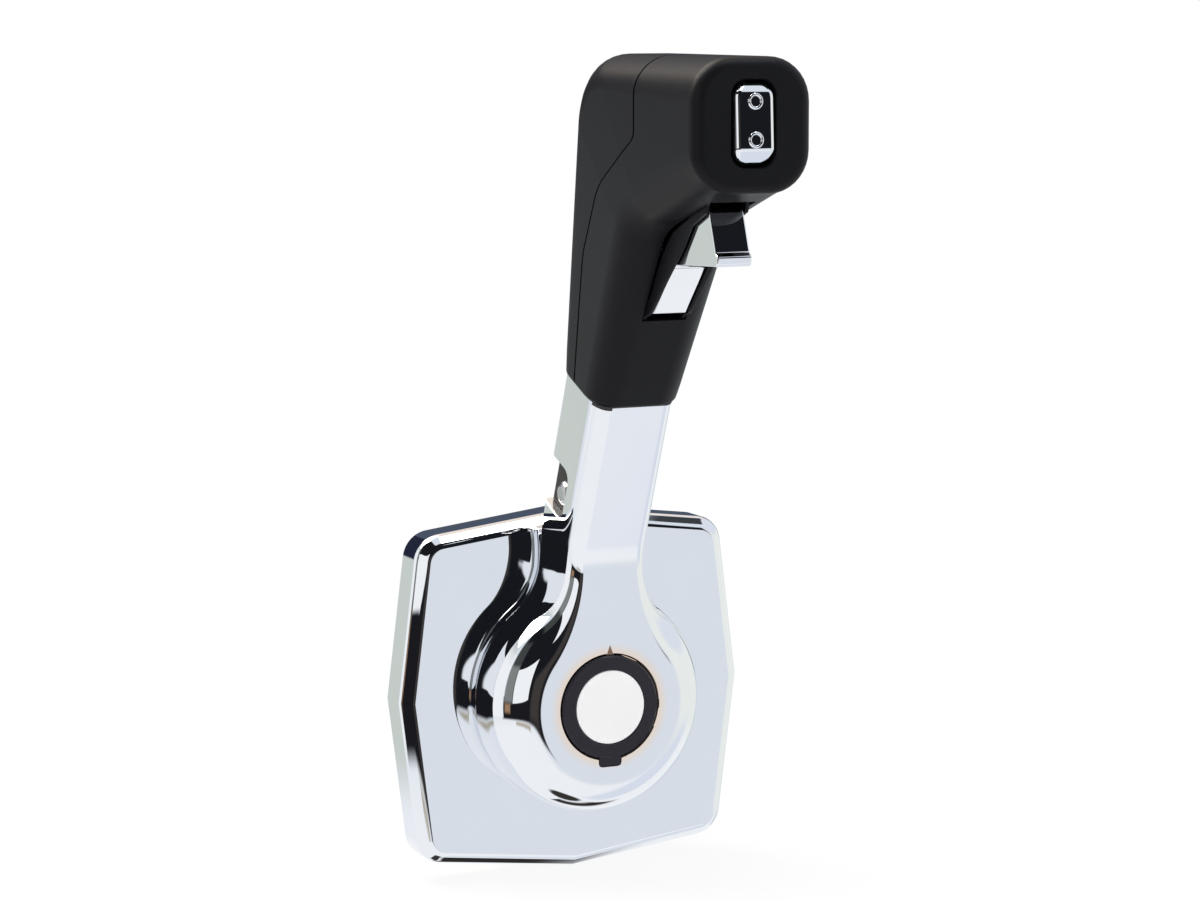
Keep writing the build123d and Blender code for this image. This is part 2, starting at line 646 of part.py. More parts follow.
def gear_outline(teeth, turn=0.0):
    """Involute spur gear outline with tooth middles at multiples of the tooth angle plus turn."""
    pitch_r = MODULE * teeth / 2
    base_r, tip_r, root_r = pitch_r * math.cos(PRESSURE_ANGLE), pitch_r + MODULE, pitch_r - 1.25 * MODULE
    half = math.pi / (2 * teeth) - BACKLASH / (2 * pitch_r)

    def roll(radius):
        return math.sqrt(max((radius / base_r) ** 2 - 1, 0)) - math.acos(min(base_r / radius, 1))

    def at(radius, angle):
        return radius * math.cos(angle), radius * math.sin(angle)

    def flank(radius):
        return half + roll(pitch_r) - roll(radius)

    start_r = max(base_r, root_r + 0.05)
    radii = [start_r, (start_r + tip_r) / 2, tip_r]
    step = 2 * math.pi / teeth
    edges = []
    for tooth in range(teeth):
        middle = turn + tooth * step
        rise = [at(r, middle - flank(r)) for r in radii]
        fall = [at(r, middle + flank(r)) for r in reversed(radii)]
        foot_in, foot_out = at(root_r, middle - flank(start_r)), at(root_r, middle + flank(start_r))
        next_in = at(root_r, middle + step - flank(start_r))
        edges += [Line(foot_in, rise[0]), ThreePointArc(*rise), Line(rise[-1], fall[0]),
                  ThreePointArc(*fall), Line(fall[-1], foot_out), Line(foot_out, next_in)]
    return make_face(edges)


def drive_gear():
    """Main gear with a stepped hub and lightening holes."""
    step = 2 * math.pi / DRIVE_TEETH
    blank = gear_outline(DRIVE_TEETH, (math.pi / 2) % step) - Circle(SHAFT_R + FIT)
    blank -= PolarLocations(14.5, 6) * Circle(2.2)
    return slab(blank, GEAR_REAR, GEAR_FRONT) - key_block(FIT)


def sensor_gear(side):
    """Pinion on its own spindle; a tooth gap faces the drive gear."""
    step = 2 * math.pi / SENSOR_TEETH
    middle = (GEAR_FRONT + GEAR_REAR) / 2
    turn = (math.pi / 2) % step + step / 2
    teeth = slab(Pos(0, side * SENSOR_Z) * gear_outline(SENSOR_TEETH, turn),
                 middle + SENSOR_GEAR_T / 2, middle - SENSOR_GEAR_T / 2)
    spindle = bar_y(SENSOR_PIN_R, BRIDGE_REAR + STACK_GAP, HOUSING_FRONT + 1 + STACK_GAP, 0, side * SENSOR_Z)
    shoulder = bar_y(SENSOR_PIN_R + 1.5, BRIDGE_FRONT - STACK_GAP, middle, 0, side * SENSOR_Z)
    return teeth + spindle + shoulder


def sensor_gear_upper():
    return sensor_gear(1)


def sensor_gear_lower():
    return sensor_gear(-1)


def sensor_magnet(side):
    rear = BRIDGE_REAR + STACK_GAP + MAGNET_T
    return bar_y(MAGNET_R, rear, rear - MAGNET_T, 0, side * SENSOR_Z)


def sensor_magnet_upper():
    return sensor_magnet(1)


def sensor_magnet_lower():
    return sensor_magnet(-1)


def detent_wheel():
    """Feel wheel: neutral notch faces the plunger, with one notch each side of it."""
    notches = [Pos(DETENT_R * math.cos(a), DETENT_R * math.sin(a)) * Circle(DETENT_NOTCH_R)
               for a in (math.radians(k * DETENT_STEP) for k in (-1, 0, 1))]
    rim = Circle(DETENT_R) - Circle(SHAFT_R + FIT) - notches
    return slab(rim, DETENT_REAR, DETENT_FRONT) - key_block(FIT)


def friction_drum():
    return sleeve_y(DRUM_R, SHAFT_R + FIT, GEAR_FRONT, DETENT_REAR) - key_block(FIT)


# ---- side units ----
def unit_piston(side, depth, tip_start):
    """Piston in a side bore with a slimmer nose reaching in."""
    nose = bar_x(PLUNGER_TIP_R, side * tip_start, side * (UNIT_GUIDE_END + 1), depth)
    return nose + bar_x(UNIT_BORE_R - RUNNING, side * UNIT_GUIDE_END, side * (UNIT_GUIDE_END + 3.5), depth)


def detent_plunger():
    """Sprung plunger, drawn just clear of the wheel's rim, with a rounded nose."""
    body = unit_piston(1, DETENT_AXIS_Y, DETENT_R + STACK_GAP)
    return fillet(body.faces().sort_by(Axis.X)[0].edges(), PLUNGER_TIP_R * 0.8)


def friction_shoe():
    """Brake shoe with a pad hollowed to the drum."""
    width = (GEAR_FRONT - DETENT_REAR) / 2 - STACK_GAP
    pad = bar_x(width, -UNIT_GUIDE_END, -(DRUM_R - 2), DRUM_AXIS_Y)
    pad -= bar_y(DRUM_R + STACK_GAP, GEAR_FRONT, DETENT_REAR)
    return pad + bar_x(UNIT_BORE_R - RUNNING, -(UNIT_GUIDE_END + 3.5), -UNIT_GUIDE_END, DRUM_AXIS_Y)


def unit_spring(side, depth):
    start, end = side * (UNIT_GUIDE_END + 3.5), side * (UNIT_BOSS_END - UNIT_CAP_T)
    length = abs(end - start) - 2 * SPRING_WIRE_R
    first = min(start, end) + SPRING_WIRE_R
    plane = Plane(origin=(first, depth, 0), x_dir=(0, 1, 0), z_dir=(1, 0, 0))
    return plane * coil(UNIT_BORE_R - 3 * SPRING_WIRE_R, length)


def detent_spring():
    return unit_spring(1, DETENT_AXIS_Y)


def friction_spring():
    return unit_spring(-1, DRUM_AXIS_Y)


def unit_cap(side, depth):
    """Slotted screw plug closing a side bore."""
    plug = bar_x(UNIT_BORE_R - FIT, side * (UNIT_BOSS_END - UNIT_CAP_T), side * UNIT_BOSS_END, depth)
    head = bar_x(UNIT_BORE_R + 1, side * UNIT_BOSS_END, side * (UNIT_BOSS_END + 1.5), depth)
    slot = Pos(side * (UNIT_BOSS_END + 1.5), depth, 0) * Box(1.6, 1.4, 20)
    return plug + head - slot


def detent_cap():
    return unit_cap(1, DETENT_AXIS_Y)


def friction_screw():
    return unit_cap(-1, DRUM_AXIS_Y)


# ---- neutral lock ring ----
def lock_screw_places():
    return [(LOCK_SCREW_CIRCLE * math.cos(a), LOCK_SCREW_CIRCLE * math.sin(a))
            for a in (math.radians(30), math.radians(150), math.radians(270))]


def lock_screw_cuts(radius, rear, front):
    return [bar_y(radius, rear, front, x, z) for x, z in lock_screw_places()]


def lock_ring():
    """Ring on the chassis boss, notched at neutral for the interlock pin; its rim also holds the bezel."""
    ring = sleeve_y(LOCK_RING_R, LOCK_RING_BORE_R, BOSS_FRONT, LOCK_RING_FRONT)
    notch_low = LOCK_RING_R - LOCK_NOTCH_DEPTH
    notch = Pos(0, notch_low + LOCK_NOTCH_DEPTH) * Rectangle(2 * LOCK_NOTCH_HALF, 2 * LOCK_NOTCH_DEPTH)
    ring -= slab(notch, BOSS_FRONT - 1, LOCK_RING_FRONT)
    ring -= lock_screw_cuts(LOCK_SCREW_HEAD_R + SCREW_CLEAR, LOCK_SEAT, LOCK_RING_FRONT)
    return ring - lock_screw_cuts(LOCK_SCREW_R + SCREW_CLEAR, BOSS_FRONT, LOCK_SEAT)


def lock_screws():
    return pan_screws(lock_screw_places(), LOCK_SEAT, BOSS_FRONT + 3, LOCK_SCREW_R, LOCK_SCREW_HEAD_R,
                      LOCK_SCREW_HEAD_H)


# ---- lever: hub, neck and arm ----
def keyhole(disc_r, neck_half):
    """Hub disc running into the neck through tangent arcs that start at the bend."""
    flare_r = (neck_half**2 + BEND_Z**2 - disc_r**2) / (2 * (disc_r - neck_half))
    centre = Vector(neck_half + flare_r, BEND_Z)
    start = Vector(neck_half, BEND_Z)
    touch = centre.normalized() * disc_r
    middle = centre + ((start - centre) + (touch - centre)).normalized() * flare_r

    def mirrored(point):
        return Vector(-point.X, point.Y)

    return make_face([
        ThreePointArc(start, middle, touch),
        ThreePointArc(touch, Vector(0, -disc_r), mirrored(touch)),
        ThreePointArc(mirrored(touch), mirrored(middle), mirrored(start)),
        Line(mirrored(start), start),
    ])


def rounding(depth, shoulder, wide, narrow):
    """Half size at a depth where an elliptical edge runs from wide at the shoulder to narrow at the face."""
    if depth >= shoulder:
        return wide
    share = (shoulder - depth) / (shoulder - HUB_FACE)
    return narrow + (wide - narrow) * math.sqrt(max(1 - share**2, 0))


def dome():
    """Front of the hub and neck, lofted through keyhole outlines from the shoulder to the flat face."""
    sections = []
    for step in range(DOME_STEPS + 1):
        sweep_angle = math.pi / 2 * step / DOME_STEPS
        depth = HUB_SHOULDER - (HUB_SHOULDER - HUB_FACE) * math.sin(sweep_angle)
        disc_r = rounding(depth, HUB_SHOULDER, HUB_R, HUB_FLAT_R)
        neck = rounding(depth, NECK_SHOULDER, NECK_HALF, NECK_FLAT_HALF)
        sections.append(facing(depth) * keyhole(disc_r, neck))
    return loft(sections)


def lever_block():
    """Hub, neck, bend and leaning arm as one outer form."""
    lower = slab(keyhole(HUB_R, NECK_HALF), HUB_REAR, HUB_SHOULDER) + dome()
    tops = lower.faces().filter_by(lambda f: abs(f.center().Z - BEND_Z) < 0.01)
    hinge = Axis((0, HUB_FACE - BEND_INNER_R, BEND_Z), (1, 0, 0))
    body = lower
    for top in tops:
        bend = revolve(top, hinge, LEAN)
        end = top.rotate(hinge, LEAN)
        body += bend + extrude(end, amount=arm_length(), dir=leaning(0).z_dir)
    return body


def arm_length():
    """Straight arm from the end of the bend to its top."""
    bend_end = leaning(0).to_local_coords(Vector(0, HUB_FACE - BEND_INNER_R, BEND_Z)).Z
    return ARM_TOP_W - bend_end


def arm_range():
    """Front and rear faces of the leaning arm as n values."""
    pivot = leaning(0).to_local_coords(Vector(0, HUB_FACE - BEND_INNER_R, BEND_Z)).Y
    return pivot + BEND_INNER_R, pivot + BEND_INNER_R + HUB_REAR - HUB_FACE


def arm_recess(depth, low, high, front_n, corner_r):
    """Side recess tool for the left face, open to the rear edge, in the leaning frame."""
    rear_n = arm_range()[1] + 5
    plane = Plane(origin=leaning(0).from_local_coords(Vector(-NECK_HALF + depth, 0, 0)),
                  x_dir=leaning(0).y_dir, z_dir=(-1, 0, 0))
    ring = [(front_n, -low), (rear_n, -low), (rear_n, -high), (front_n, -high)]
    outline = make_face(Polyline(*ring, close=True))
    nearest = outline.vertices().sort_by(Axis.X)[:2]
    return extrude(plane * fillet(nearest, corner_r), amount=depth + 1)


def both_sides(solid):
    return solid + mirror(solid, about=Plane.YZ)


def rear_edges(body):
    """The back edge loop: round the hub, up the neck and along the leaning arm."""
    frame, rear_n = leaning(0), arm_range()[1]

    def on_rear(edge):
        place = edge.center()
        on_hub = abs(place.Y - HUB_REAR) < 0.01 and place.Z < BEND_Z - 1
        on_arm = abs(frame.to_local_coords(place).Y - rear_n) < 0.01 and abs(place.X) > NECK_HALF - 0.1
        on_side = abs(abs(place.X) - NECK_HALF) < 0.01 and place.Y > HUB_FACE / 2
        on_bend = on_side and edge.geom_type == GeomType.CIRCLE
        return on_hub or on_arm or on_bend

    return body.edges().filter_by(on_rear)


def core_outline(margin=0.0):
    middle = (CORE_FRONT_N + CORE_REAR_N) / 2
    depth = CORE_REAR_N - CORE_FRONT_N + 2 * margin
    return Pos(0, middle) * Rectangle(2 * (CORE_HALF_X + margin), depth)


def lean_cross(radius, start, end, n, reach):
    """Round bar along X placed in the leaning frame."""
    depth, height = lean_point(n, reach)
    return bar_x(radius, start, end, depth, height)


def lever_arm():
    """Casting: outer form less the well, rear cavity, drive and rod bores, core socket and side recesses."""
    body = lever_block()
    body = fillet(rear_edges(body), REAR_EDGE_R)
    well = bar_y(HUB_WELL_R, HUB_WELL_FLOOR, HUB_FACE - 1)
    boss_gap = HUB_WELL_R + HUB_WELL_WALL
    cavity = turned((HUB_BOSS_R, HUB_REAR + 1), (HUB_CAVITY_R, HUB_REAR + 1),
                    (HUB_CAVITY_R, COVER_SEAT), (HUB_CAVITY_R - COVER_LEDGE, COVER_SEAT),
                    (HUB_CAVITY_R - COVER_LEDGE, HUB_CAVITY_FRONT - 4), (HUB_DEEP_R - 3, HUB_DEEP_FRONT),
                    (boss_gap, HUB_DEEP_FRONT), (boss_gap, HUB_CAVITY_FRONT), (HUB_BOSS_R, HUB_CAVITY_FRONT))
    drive = slab(Rectangle(2 * (SHAFT_FLAT + FIT), 2 * SHAFT_R + 2), HUB_REAR, HUB_WELL_FLOOR)
    drive = drive & bar_y(SHAFT_R + FIT, HUB_REAR, HUB_WELL_FLOOR)
    body = body - well - cavity - drive - button_notch()
    body -= lean_bar(ROD_R + ROD_CLEAR, 0, CORE_START_W)
    body -= lean_bar(PIN_COLLAR_R + 0.4, -2, PIN_COLLAR_END + TRIGGER_TRAVEL + 0.6)
    body -= lean_slab(core_outline(CORE_CLEAR), CORE_START_W - CORE_CLEAR, ARM_TOP_W)
    recess = arm_recess(RECESS_DEPTH, RECESS_LOW_W, RECESS_HIGH_W, RECESS_FRONT_N, RECESS_CORNER_R)
    body -= both_sides(recess)
    return body - lean_cross(BOLT_R + SCREW_CLEAR, -NECK_HALF, NECK_HALF, BOLT_N, BOLT_W) - pointer_notch()


def button_notch():
    """Key slot under the well for the button's tab, deep enough for its travel."""
    width, low = BUTTON_TAB_HALF + 0.3, BUTTON_TAB_REACH + 0.3
    slot = Pos(0, -low / 2) * Rectangle(2 * width, low)
    return slab(slot, HUB_FACE + BUTTON_TAB_T + BUTTON_TRAVEL + 0.3, HUB_FACE - 1)


def pointer_notch():
    """Small triangular neutral mark above the button."""
    low = HUB_WELL_R - 1
    mark = make_face(Polyline((-POINTER_HALF, low), (POINTER_HALF, low), (0, POINTER_TIP_Z), close=True))
    return slab(mark, HUB_FACE + 0.6, HUB_FACE - 1)


def hub_cover():
    """Ring that closes the back of the hub around the lock ring."""
    rear = HUB_REAR - FIT
    return sleeve_y(HUB_CAVITY_R - FIT, COVER_RING_R, rear, rear - COVER_RING_T)


def side_liner():
    """Black liner lying in a side recess, with a hole for the cross bolt."""
    gap = LINER_CLEAR
    low, high = RECESS_LOW_W + gap, RECESS_HIGH_W - gap
    sheet = arm_recess(RECESS_DEPTH, low, high, RECESS_FRONT_N + gap, RECESS_CORNER_R)
    sheet = sheet & Pos(-NECK_HALF + RECESS_DEPTH - LINER_T / 2, 0, 0) * Box(LINER_T, 4 * ARM_TOP_W, 4 * ARM_TOP_W)
    stop = Pos(0, arm_range()[1] - LINER_T - LINER_REACH) * Rectangle(4 * NECK_HALF, 2 * LINER_REACH)
    sheet = sheet & lean_slab(stop, 0, ARM_TOP_W)
    return sheet - lean_cross(BOLT_R + SCREW_CLEAR, -NECK_HALF, 0, BOLT_N, BOLT_W)


def side_liner_left():
    return side_liner()


def side_liner_right():
    return mirror(side_liner(), about=Plane.YZ)


def bolt_seat():
    return -NECK_HALF + RECESS_DEPTH - LINER_T


def cross_bolt():
    """Domed bolt through the arm and the core bar."""
    seat = bolt_seat()
    head = lean_cross(BOLT_HEAD_R, seat - BOLT_HEAD_H, seat, BOLT_N, BOLT_W)
    head = fillet(head.faces().sort_by(Axis.X)[0].edges(), BOLT_HEAD_H * 0.8)
    return head + lean_cross(BOLT_R, seat, -seat - 0.5, BOLT_N, BOLT_W)


def cross_nut():
    """Domed cap nut on the far end of the cross bolt."""
    seat = -bolt_seat()
    head = lean_cross(BOLT_HEAD_R, seat, seat + BOLT_HEAD_H, BOLT_N, BOLT_W)
    head = fillet(head.faces().sort_by(Axis.X)[-1].edges(), BOLT_HEAD_H * 0.8)
    return head


def hub_washer():
    return sleeve_y(WASHER_R, SHAFT_THREAD_R + FIT, HUB_WELL_FLOOR, HUB_WELL_FLOOR - WASHER_T)


def hub_nut():
    """Hexagon nut that holds the lever on the shaft."""
    rear = HUB_WELL_FLOOR - WASHER_T
    hexagon = RegularPolygon(NUT_FLATS / 2, 6, major_radius=False) - Circle(SHAFT_THREAD_R + FIT)
    block = slab(hexagon, rear, rear - NUT_T)
    corner_cone = turned((0, rear), (NUT_FLATS / 2 + 3, rear), (NUT_FLATS / 2 + 3, rear - NUT_T + 1.5),
                         (NUT_FLATS / 2, rear - NUT_T), (0, rear - NUT_T))
    return block & corner_cone


# ---- interlock pin and rod ----
def interlock_pin():
    """Pin that drops into the lock ring at neutral; drawn just clear of the rim."""
    pin = lean_bar(ROD_R, PIN_TIP_W, PIN_COLLAR_START)
    pin = fillet(pin.faces().sort_by(Axis.Z)[0].edges(), 0.5)
    pin += lean_bar(PIN_COLLAR_R, PIN_COLLAR_START, PIN_COLLAR_END)
    return pin - lean_bar(ROD_R + FIT / 2, PIN_SOCKET_W, PIN_COLLAR_END)


def interlock_rod():
    return lean_bar(ROD_R, PIN_SOCKET_W, ROD_TOP_W)


def grip_core():
    """Bar that joins arm and grip, bored for the rod and the cross bolt."""
    bar = lean_slab(core_outline(), CORE_START_W, CORE_END_W)
    bar -= lean_bar(ROD_R + 0.3, CORE_START_W, CORE_END_W)
    bar -= lean_cross(BOLT_R + SCREW_CLEAR, -NECK_HALF, NECK_HALF, BOLT_N, BOLT_W)
    return bar - [across_lean(GRIP_SCREW_R, CORE_REAR_N - 5, CORE_REAR_N, w) for w in BASE_SCREW_WS]


def across_lean(radius, start_n, end_n, reach, x=0):
    """Round bar square to the lean, from one n value to another."""
    frame = leaning(reach)
    origin = frame.from_local_coords(Vector(x, start_n, 0))
    plane = Plane(origin=origin, x_dir=(1, 0, 0), z_dir=frame.y_dir)
    return extrude(plane * Circle(radius), amount=end_n - start_n)


# ---- grip shells ----
def station(rear, front, half, corner_r, inset):
    """Rounded section standing between a rear/top point and a front/under point."""
    along = (rear - front).normalized()
    depth = (rear - front).length - 2 * inset
    plane = Plane(origin=(rear + front) / 2, x_dir=(1, 0, 0), z_dir=Vector(1, 0, 0).cross(along))
    return plane * RectangleRounded(2 * (half - inset), depth, corner_r - inset)


def grip_form(low_w, face_y, inset=0.0):
    """Loft up the handle, round the turn and out to the flat face, shrunk by inset."""
    low_rear = lean_point(GRIP_BASE_REAR_N, GRIP_BASE_W)
    low_front = lean_point(GRIP_BASE_FRONT_N, GRIP_BASE_W)
    crown = side_path(low_rear, CROWN_CORNER, (HEAD_FACE, HEAD_TOP), CROWN_R)
    throat = side_path(low_front, THROAT_CORNER, (HEAD_FACE, HEAD_LOW), THROAT_R)
    share = (low_w - GRIP_BASE_W) / (leaning(GRIP_BASE_W).to_local_coords(throat[1] @ 0).Z)
    rear_low, front_low = crown[0] @ (share * throat[0].length / crown[0].length), throat[0] @ share
    low_half = GRIP_BASE_HALF + share * (THROAT_HALF - GRIP_BASE_HALF)
    sections = [station(rear_low, front_low, low_half, GRIP_BASE_CORNER_R, inset)]
    for step in range(TURN_STEPS + 1):
        t = step / TURN_STEPS
        half = THROAT_HALF + t * (HEAD_HALF - THROAT_HALF)
        corner_r = THROAT_CORNER_R + t * (HEAD_CORNER_R - THROAT_CORNER_R)
        sections.append(station(crown[1] @ t, throat[1] @ t, half, corner_r, inset))
    top, under = Vector(0, face_y, HEAD_TOP), Vector(0, face_y, HEAD_LOW)
    sections.append(station(top, under, HEAD_HALF, HEAD_CORNER_R, inset))
    return loft(sections, ruled=True)


def side_path(low, corner, end, radius):
    """Side-view line, arc and line through a rounded corner, as three edges."""
    points = [Vector(0, *point) for point in (low, corner, end)]
    return FilletPolyline(*points, radius=radius).edges()


def grip_solid():
    """Whole outer form of the grip, from the arm up round the throat to the flat face."""
    body = grip_form(GRIP_BASE_W, HEAD_FACE)
    body = fillet(body.faces().sort_by(Axis.Y)[0].edges(), FACE_INSET)
    return fillet(body.faces().sort_by(Axis.Z)[0].edges(), GRIP_EDGE_R)


def grip_room():
    """Hollow inside the shells, above the arm socket."""
    return grip_form(CORE_ROOM_W, HEAD_FACE + GRIP_WALL, GRIP_WALL)


def arm_socket():
    front_n, rear_n = arm_range()
    depth = rear_n - front_n + 2 * ARM_SOCKET_CLEAR
    outline = RectangleRounded(2 * (NECK_HALF + ARM_SOCKET_CLEAR), depth, 2)
    return lean_slab(Pos(0, (front_n + rear_n) / 2) * outline, GRIP_BASE_W - 10, CORE_ROOM_W + 0.1)


def grip_hollow():
    return grip_solid() - grip_room() - arm_socket()


def seam_region(shift=0.0):
    """Everything behind the seam line."""
    line = [(y + shift, z) for y, z in SEAM_LINE]
    outline = make_face(Polyline(*line, (SEAM_REAR_Y, line[-1][1]), (SEAM_REAR_Y, line[0][1]), close=True))
    for place, radius in zip(line[1:4], SEAM_BENDS):
        corner = min(outline.vertices(), key=lambda v, p=place: math.dist((v.X, v.Y), p))
        outline = fillet(corner, radius)
    return side_slab(outline, 60)


def head_bosses(radius, front, rear):
    return [bar_y(radius, rear, front, x, HEAD_SCREW_Z) for x in (-HEAD_SCREW_X, HEAD_SCREW_X)]


def grip_rear_shell():
    outer = grip_solid()
    shell = grip_hollow() & seam_region(SEAM_GAP / 2)
    posts = fused(head_bosses(HEAD_BOSS_R, HEAD_POST_SPLIT, HEAD_SCREW_SEAT + 14))
    seat_n, outside_n = CORE_REAR_N + 0.3, GRIP_BASE_REAR_N + 10
    posts += fused([across_lean(HEAD_BOSS_R, seat_n, outside_n, w) for w in BASE_SCREW_WS])
    shell += posts & outer & seam_region(SEAM_GAP / 2)
    shell -= head_bosses(GRIP_SCREW_R + SCREW_CLEAR, HEAD_POST_SPLIT, HEAD_SCREW_SEAT)
    shell -= head_bosses(GRIP_SCREW_HEAD_R + 0.2, HEAD_SCREW_SEAT, HEAD_SCREW_SEAT + 20)
    for w in BASE_SCREW_WS:
        shell -= across_lean(GRIP_SCREW_R + SCREW_CLEAR, CORE_REAR_N, BASE_SCREW_SEAT_N, w)
        shell -= across_lean(GRIP_SCREW_HEAD_R + 0.2, BASE_SCREW_SEAT_N, GRIP_BASE_REAR_N + 12, w)
    return shell


def grip_front_shell():
    shell = grip_hollow() - seam_region(-SEAM_GAP / 2)
    posts = fused(head_bosses(HEAD_BOSS_R, HEAD_FACE + 1, HEAD_POST_SPLIT - SEAM_GAP))
    shell += posts & grip_solid()
    shell -= head_bosses(GRIP_SCREW_R, HEAD_SCREW_END - 1, HEAD_POST_SPLIT)
    shell -= trigger_slot()
    return shell - rocker_opening()


def trigger_slot():
    outline = side_face(SLOT_LOW, *SLOT_OUTSIDE, *SLOT_FLOOR)
    return side_slab(outline, TRIGGER_SLOT_HALF)


def rocker_opening():
    half_x, half_z = ROCKER_HALF_X + ROCKER_CLEAR_X, ROCKER_HALF_Z + ROCKER_CLEAR_Z
    window = Pos(0, ROCKER_Z) * RectangleRounded(2 * half_x, 2 * half_z, 3.5)
    return slab(window, HEAD_FACE + GRIP_WALL + 1, HEAD_FACE - 1)


def grip_screws():
    """Two long screws through the head and two short ones into the core bar."""
    places = [(x, HEAD_SCREW_Z) for x in (-HEAD_SCREW_X, HEAD_SCREW_X)]
    head = pan_screws(places, HEAD_SCREW_SEAT, HEAD_SCREW_END, GRIP_SCREW_R, GRIP_SCREW_HEAD_R,
                      GRIP_SCREW_HEAD_H)
    short = [across_lean(GRIP_SCREW_R, CORE_REAR_N - 4, BASE_SCREW_SEAT_N, w)
             + across_lean(GRIP_SCREW_HEAD_R, BASE_SCREW_SEAT_N, BASE_SCREW_SEAT_N + GRIP_SCREW_HEAD_H, w)
             for w in BASE_SCREW_WS]
    return Compound([*head.solids(), *[s.solid() for s in short]])


def grip_collar():
    """Rubber ring between the arm and the grip, with a small tab at the front left."""
    front_n, rear_n = arm_range()
    middle, depth = (front_n + rear_n) / 2, rear_n - front_n
    outer = Pos(0, middle) * RectangleRounded(2 * (NECK_HALF + COLLAR_LIP), depth + 2 * COLLAR_LIP,
                                              COLLAR_CORNER_R + COLLAR_LIP)
    inner = Pos(0, middle) * RectangleRounded(2 * (NECK_HALF + FIT), depth + 2 * FIT, COLLAR_CORNER_R)
    ring = lean_slab(outer - inner, GRIP_BASE_W - COLLAR_T, GRIP_BASE_W - FIT)
    tab = Pos(COLLAR_TAB_X, front_n - (COLLAR_TAB_T + FIT) / 2) * Rectangle(COLLAR_TAB_WIDTH, COLLAR_TAB_T - FIT)
    return ring + lean_slab(tab, GRIP_BASE_W - COLLAR_T - COLLAR_TAB_DROP, GRIP_BASE_W - FIT)


# ---- trigger ----
def interlock_trigger():
    """Finger trigger: blade lying in the grip, finger lip and the face that runs up into the head."""
    outline = side_face(BLADE_LOW, BLADE_HIGH, LIP_ROOT, LIP_NOSE_LOW, LIP_NOSE_HIGH, TRIGGER_FACE_LOW,
                        TRIGGER_FACE_TOP, *TRIGGER_BACK, BLADE_BACK_HIGH, BLADE_BACK_LOW)
    nose = [v for v in outline.vertices() if v.X < LIP_NOSE_LOW[0] + 1]
    outline = fillet(nose, TRIGGER_NOSE_R)
    body = side_slab(outline, TRIGGER_HALF)

    def on_front(edge):
        return edge.center().Y < TRIGGER_FACE_LOW[0] + 2 and abs(edge.center().X) > TRIGGER_HALF - 0.1

    return fillet(body.edges().filter_by(on_front), TRIGGER_EDGE_R)


def trigger_carriage():
    """Block behind the blade that grips the top of the rod."""
    def on_blade(share):
        return tuple(a + share * (b - a) for a, b in zip(BLADE_BACK_LOW, BLADE_BACK_HIGH))

    low, high = CARRIAGE_LOW_W, CARRIAGE_HIGH_W
    outline = side_face(on_blade(0.12), on_blade(0.85), lean_point(CARRIAGE_FRONT_N, high),
                        lean_point(CARRIAGE_REAR_N, high), lean_point(CARRIAGE_REAR_N, low),
                        lean_point(CARRIAGE_FRONT_N, low))
    return side_slab(outline, CARRIAGE_HALF) - lean_bar(ROD_R + FIT / 2, low - 5, high + 5)


def trigger_spring():
    """Return spring between the carriage and the seat in the head."""
    start = CARRIAGE_HIGH_W + SPRING_WIRE_R
    return leaning(start) * coil(TRIGGER_SPRING_R, TRIGGER_SPRING_SEAT_W - SPRING_WIRE_R - start)


def spring_seat():
    """Seat block for the trigger spring, bridging the front shell."""
    strip = lean_slab(Rectangle(4 * THROAT_HALF, SPRING_SEAT_DEPTH), TRIGGER_SPRING_SEAT_W,
                      TRIGGER_SPRING_SEAT_W + SPRING_SEAT_T)
    return strip & grip_room()


# ---- trim switch ----
def switch_frame():
    """Switch case behind the face: cheeks that hold the rocker's pin and a closed back."""
    half_x, half_z = ROCKER_HALF_X + ROCKER_CLEAR_X, ROCKER_HALF_Z + ROCKER_CLEAR_Z
    front = HEAD_FACE + GRIP_WALL + FIT
    wall = SWITCH_FRAME_WALL
    outside = Pos(0, ROCKER_Z) * Rectangle(2 * (half_x + wall), 2 * (half_z + wall))
    inside = Pos(0, ROCKER_Z) * Rectangle(2 * half_x, 2 * half_z)
    case = slab(outside, SWITCH_FRAME_REAR, front)
    pocket = slab(inside, SWITCH_FRAME_REAR - SWITCH_FRAME_FLOOR, front)
    pin = bar_x(ROCKER_PIN_R + RUNNING, -half_x - wall, half_x + wall, ROCKER_PIVOT_Y, ROCKER_Z)
    return case - pocket - pin


def rocker_pin():
    reach = ROCKER_HALF_X + ROCKER_CLEAR_X + SWITCH_FRAME_WALL
    return bar_x(ROCKER_PIN_R, -reach, reach, ROCKER_PIVOT_Y, ROCKER_Z)


